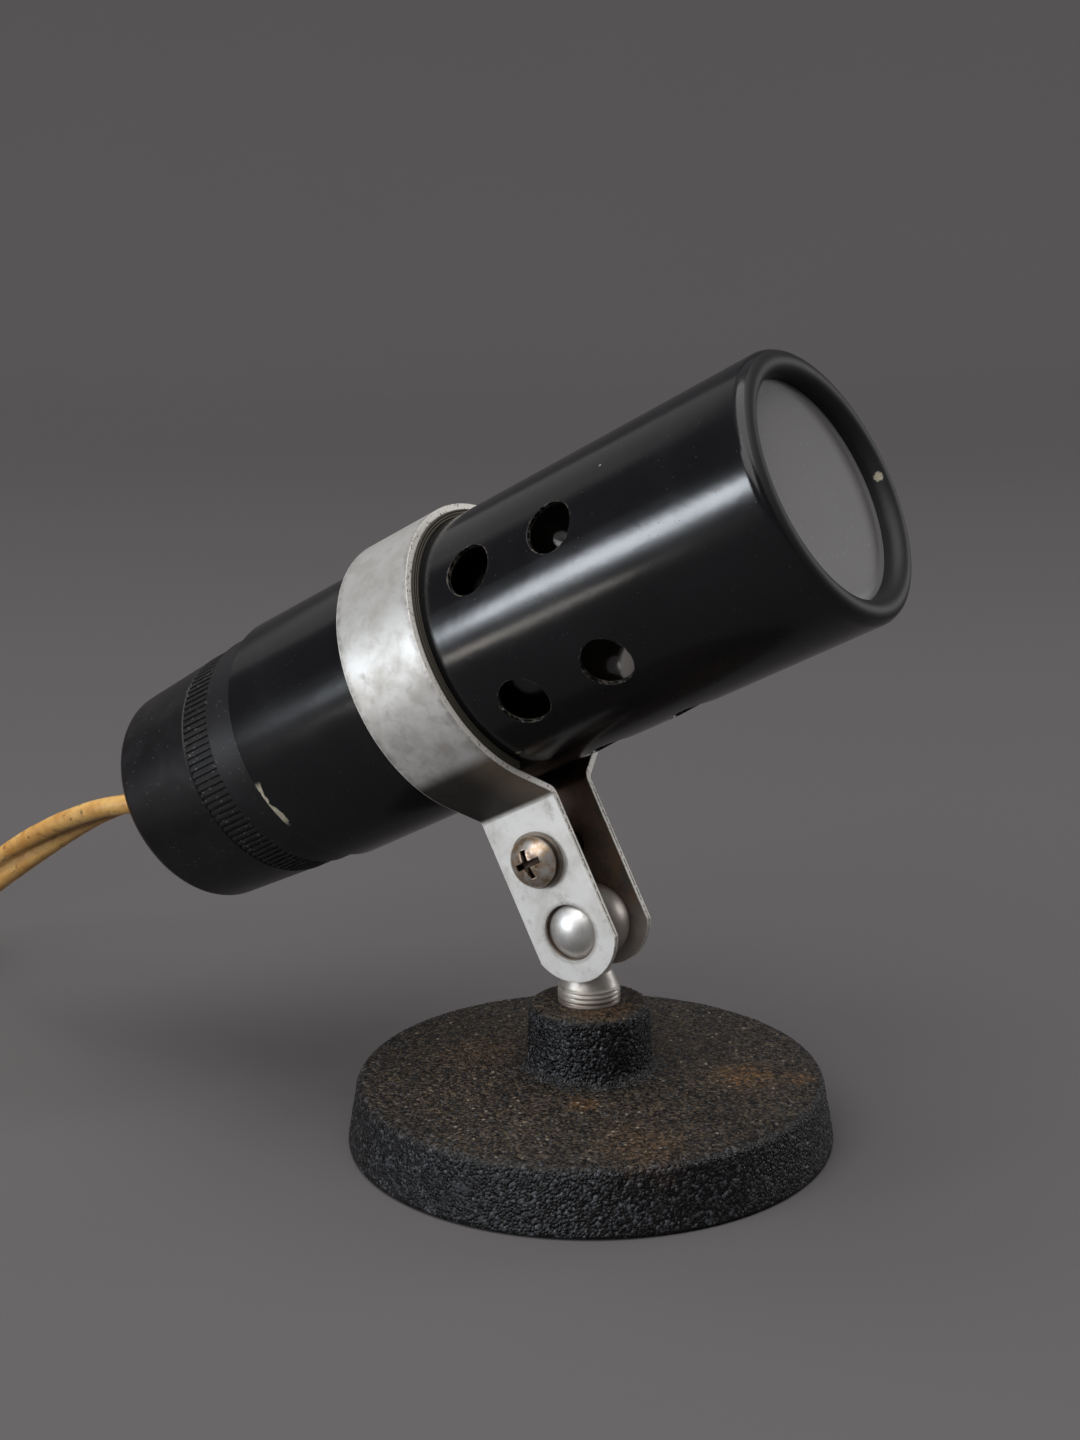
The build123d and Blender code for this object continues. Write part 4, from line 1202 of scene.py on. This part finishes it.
class SEARCHLIGHT_OT_plug(PieceOperator, bpy.types.Operator):
    """Mould the flat two-blade plug with its ribbed neck and finger grips"""

    bl_idname = "searchlight.plug"
    bl_label = "Plug"

    def execute(self, context):
        low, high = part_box("plug_body")
        middle = (low + high) / 2 / MM
        middle.x = low.x / MM + 147.0
        # place along the plug, half width, half height and squareness of each section
        stations = [(-147.0, 3.4, 3.2, 2.0)]
        for k in range(5):
            x = -146.6 + 1.6 * k
            for ahead, radius in ((0.0, 4.1), (0.8, 4.15), (1.0, 3.5), (1.4, 3.5)):
                stations.append((x + ahead, radius, radius, 2.0))
        stations += [
            (-138.2, 4.8, 4.5, 2.1),
            (-136.5, 6.4, 5.1, 2.3),
            (-134.0, 8.2, 5.7, 2.6),
            (-131.0, 9.4, 6.0, 2.9),
        ]
        for k in range(4):
            x = -129.6 + 2.6 * k
            for ahead, wide, high in ((0.0, 9.9, 6.1), (1.1, 9.9, 6.1), (1.4, 9.3, 6.05), (2.3, 9.3, 6.05)):
                stations.append((x + ahead, wide, high, 3.0))
        stations += [
            (-118.6, 10.4, 6.2, 3.2),
            (-116.0, 10.9, 6.4, 3.6),
            (-110.2, 11.0, 6.45, 4.0),
            (-109.4, 10.7, 6.2, 4.0),
            (-109.0, 10.0, 5.6, 4.0),
        ]
        bm = bmesh.new()
        count = 56
        rings = []
        for x, wide, high, square in stations:
            ring = []
            for k in range(count):
                turn = 2 * math.pi * k / count
                c, s = math.cos(turn), math.sin(turn)
                y = math.copysign(abs(c) ** (2 / square), c) * wide
                z = math.copysign(abs(s) ** (2 / square), s) * high
                ring.append(bm.verts.new((Vector((x, y, z)) + middle) * MM))
            rings.append(ring)
        for near, far in zip(rings, rings[1:]):
            for k in range(count):
                n = (k + 1) % count
                bm.faces.new((near[k], near[n], far[n], far[k]))
        bm.faces.new(rings[0])
        bm.faces.new(rings[-1])
        shell = mesh_piece("plug_shell", bm, plug_finish())
        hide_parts("plug_body")
        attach(shell, "swivel")
        pins = plain_finish("pin_nickel", (0.66, 0.62, 0.52), (0.50, 0.44, 0.34), 0.3, 1.0, 3.0)
        finish_nodes(pins, "plug_pins")
        return {"FINISHED"}


class SEARCHLIGHT_OT_tie(PieceOperator, bpy.types.Operator):
    """Wrap the coil in a flat wire tie with a twisted end"""

    bl_idname = "searchlight.tie"
    bl_label = "Coil tie"

    def execute(self, context):
        turn = math.radians(205)
        out = Vector((math.cos(turn), math.sin(turn), 0))
        middle = Vector((COIL_MID.x, COIL_MID.y, 0)) + out * COIL_R
        side = UP.cross(out)
        # round the coil's section: how far out from its middle, and how high
        corners = [
            (-6.2, 0.45),
            (7.3, 0.45),
            (7.75, 7.0),
            (7.3, 14.35),
            (-5.4, 14.45),
            (-7.6, 13.6),
            (-7.75, 5.0),
            (-7.4, 0.75),
        ]
        hoop = [(middle + out * u + UP * v) * MM for u, v in corners]
        knot = middle - out * 7.9 + UP * 12.6
        tail = [(knot + side * 0.6 * k + UP * (0.2 * k) - out * (2.2 * k)) * MM for k in range(1, 6)]
        line = smooth_line(hoop[-2:] + hoop[:-2] + [hoop[-2]], 6)
        # a thin ribbon with a wire along its middle, half of it and then the half opposite
        half = [(-2.0, -0.14), (-0.4, -0.2), (0, -0.34), (0.4, -0.2), (2.0, -0.14)]
        ribbon = half + [(-u, -v) for u, v in half]
        flat = [(u * MM, v * MM) for u, v in ribbon]
        finish = plain_finish("tie_wrap", (0.045, 0.045, 0.048), (0.075, 0.075, 0.078), 0.45, size=2)
        wrap = swept("coil_wrap", line, lambda index, heading: side, flat, finish)
        ends = smooth_line([knot * MM] + tail, 8)
        pair = [(u * 0.9, v * 1.6) for u, v in flat]

        def twisted(index, heading):
            return Matrix.Rotation(index * 0.42, 3, heading) @ side

        twist = swept("coil_wrap_end", ends, twisted, pair, finish)
        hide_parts("coil_tie")
        for piece in (wrap, twist):
            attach(piece, "swivel")
        return {"FINISHED"}


# ---------------------------------------------------------------- panel and registration

BUILDERS = (
    SEARCHLIGHT_OT_camera,
    SEARCHLIGHT_OT_stage,
    SEARCHLIGHT_OT_base,
    SEARCHLIGHT_OT_stand,
    SEARCHLIGHT_OT_screw,
    SEARCHLIGHT_OT_tube,
    SEARCHLIGHT_OT_holder,
    SEARCHLIGHT_OT_bulb,
    SEARCHLIGHT_OT_plug,
    SEARCHLIGHT_OT_tie,
    SEARCHLIGHT_OT_cord,
)


class SEARCHLIGHT_PT_panel(bpy.types.Panel):
    """Lists the builders of the searchlight and their settings"""

    bl_idname = "SEARCHLIGHT_PT_panel"
    bl_label = "Tabletop Searchlight"
    bl_space_type = "VIEW_3D"
    bl_region_type = "UI"
    bl_category = "Searchlight"

    def draw(self, context):
        column = self.layout.column(align=True)
        for name in SearchlightSettings.__annotations__:
            column.prop(context.scene.searchlight, name)
        column = self.layout.column(align=True)
        for builder in BUILDERS:
            column.operator(builder.bl_idname)


CLASSES = (SearchlightSettings, *BUILDERS, SEARCHLIGHT_PT_panel)


def register():
    for cls in CLASSES:
        bpy.utils.register_class(cls)
    bpy.types.Scene.searchlight = PointerProperty(type=SearchlightSettings)


def unregister():
    del bpy.types.Scene.searchlight
    for cls in reversed(CLASSES):
        bpy.utils.unregister_class(cls)


def main():
    register()
    for builder in BUILDERS:
        group, name = builder.bl_idname.split(".")
        getattr(getattr(bpy.ops, group), name)()


if __name__ == "__main__":
    main()
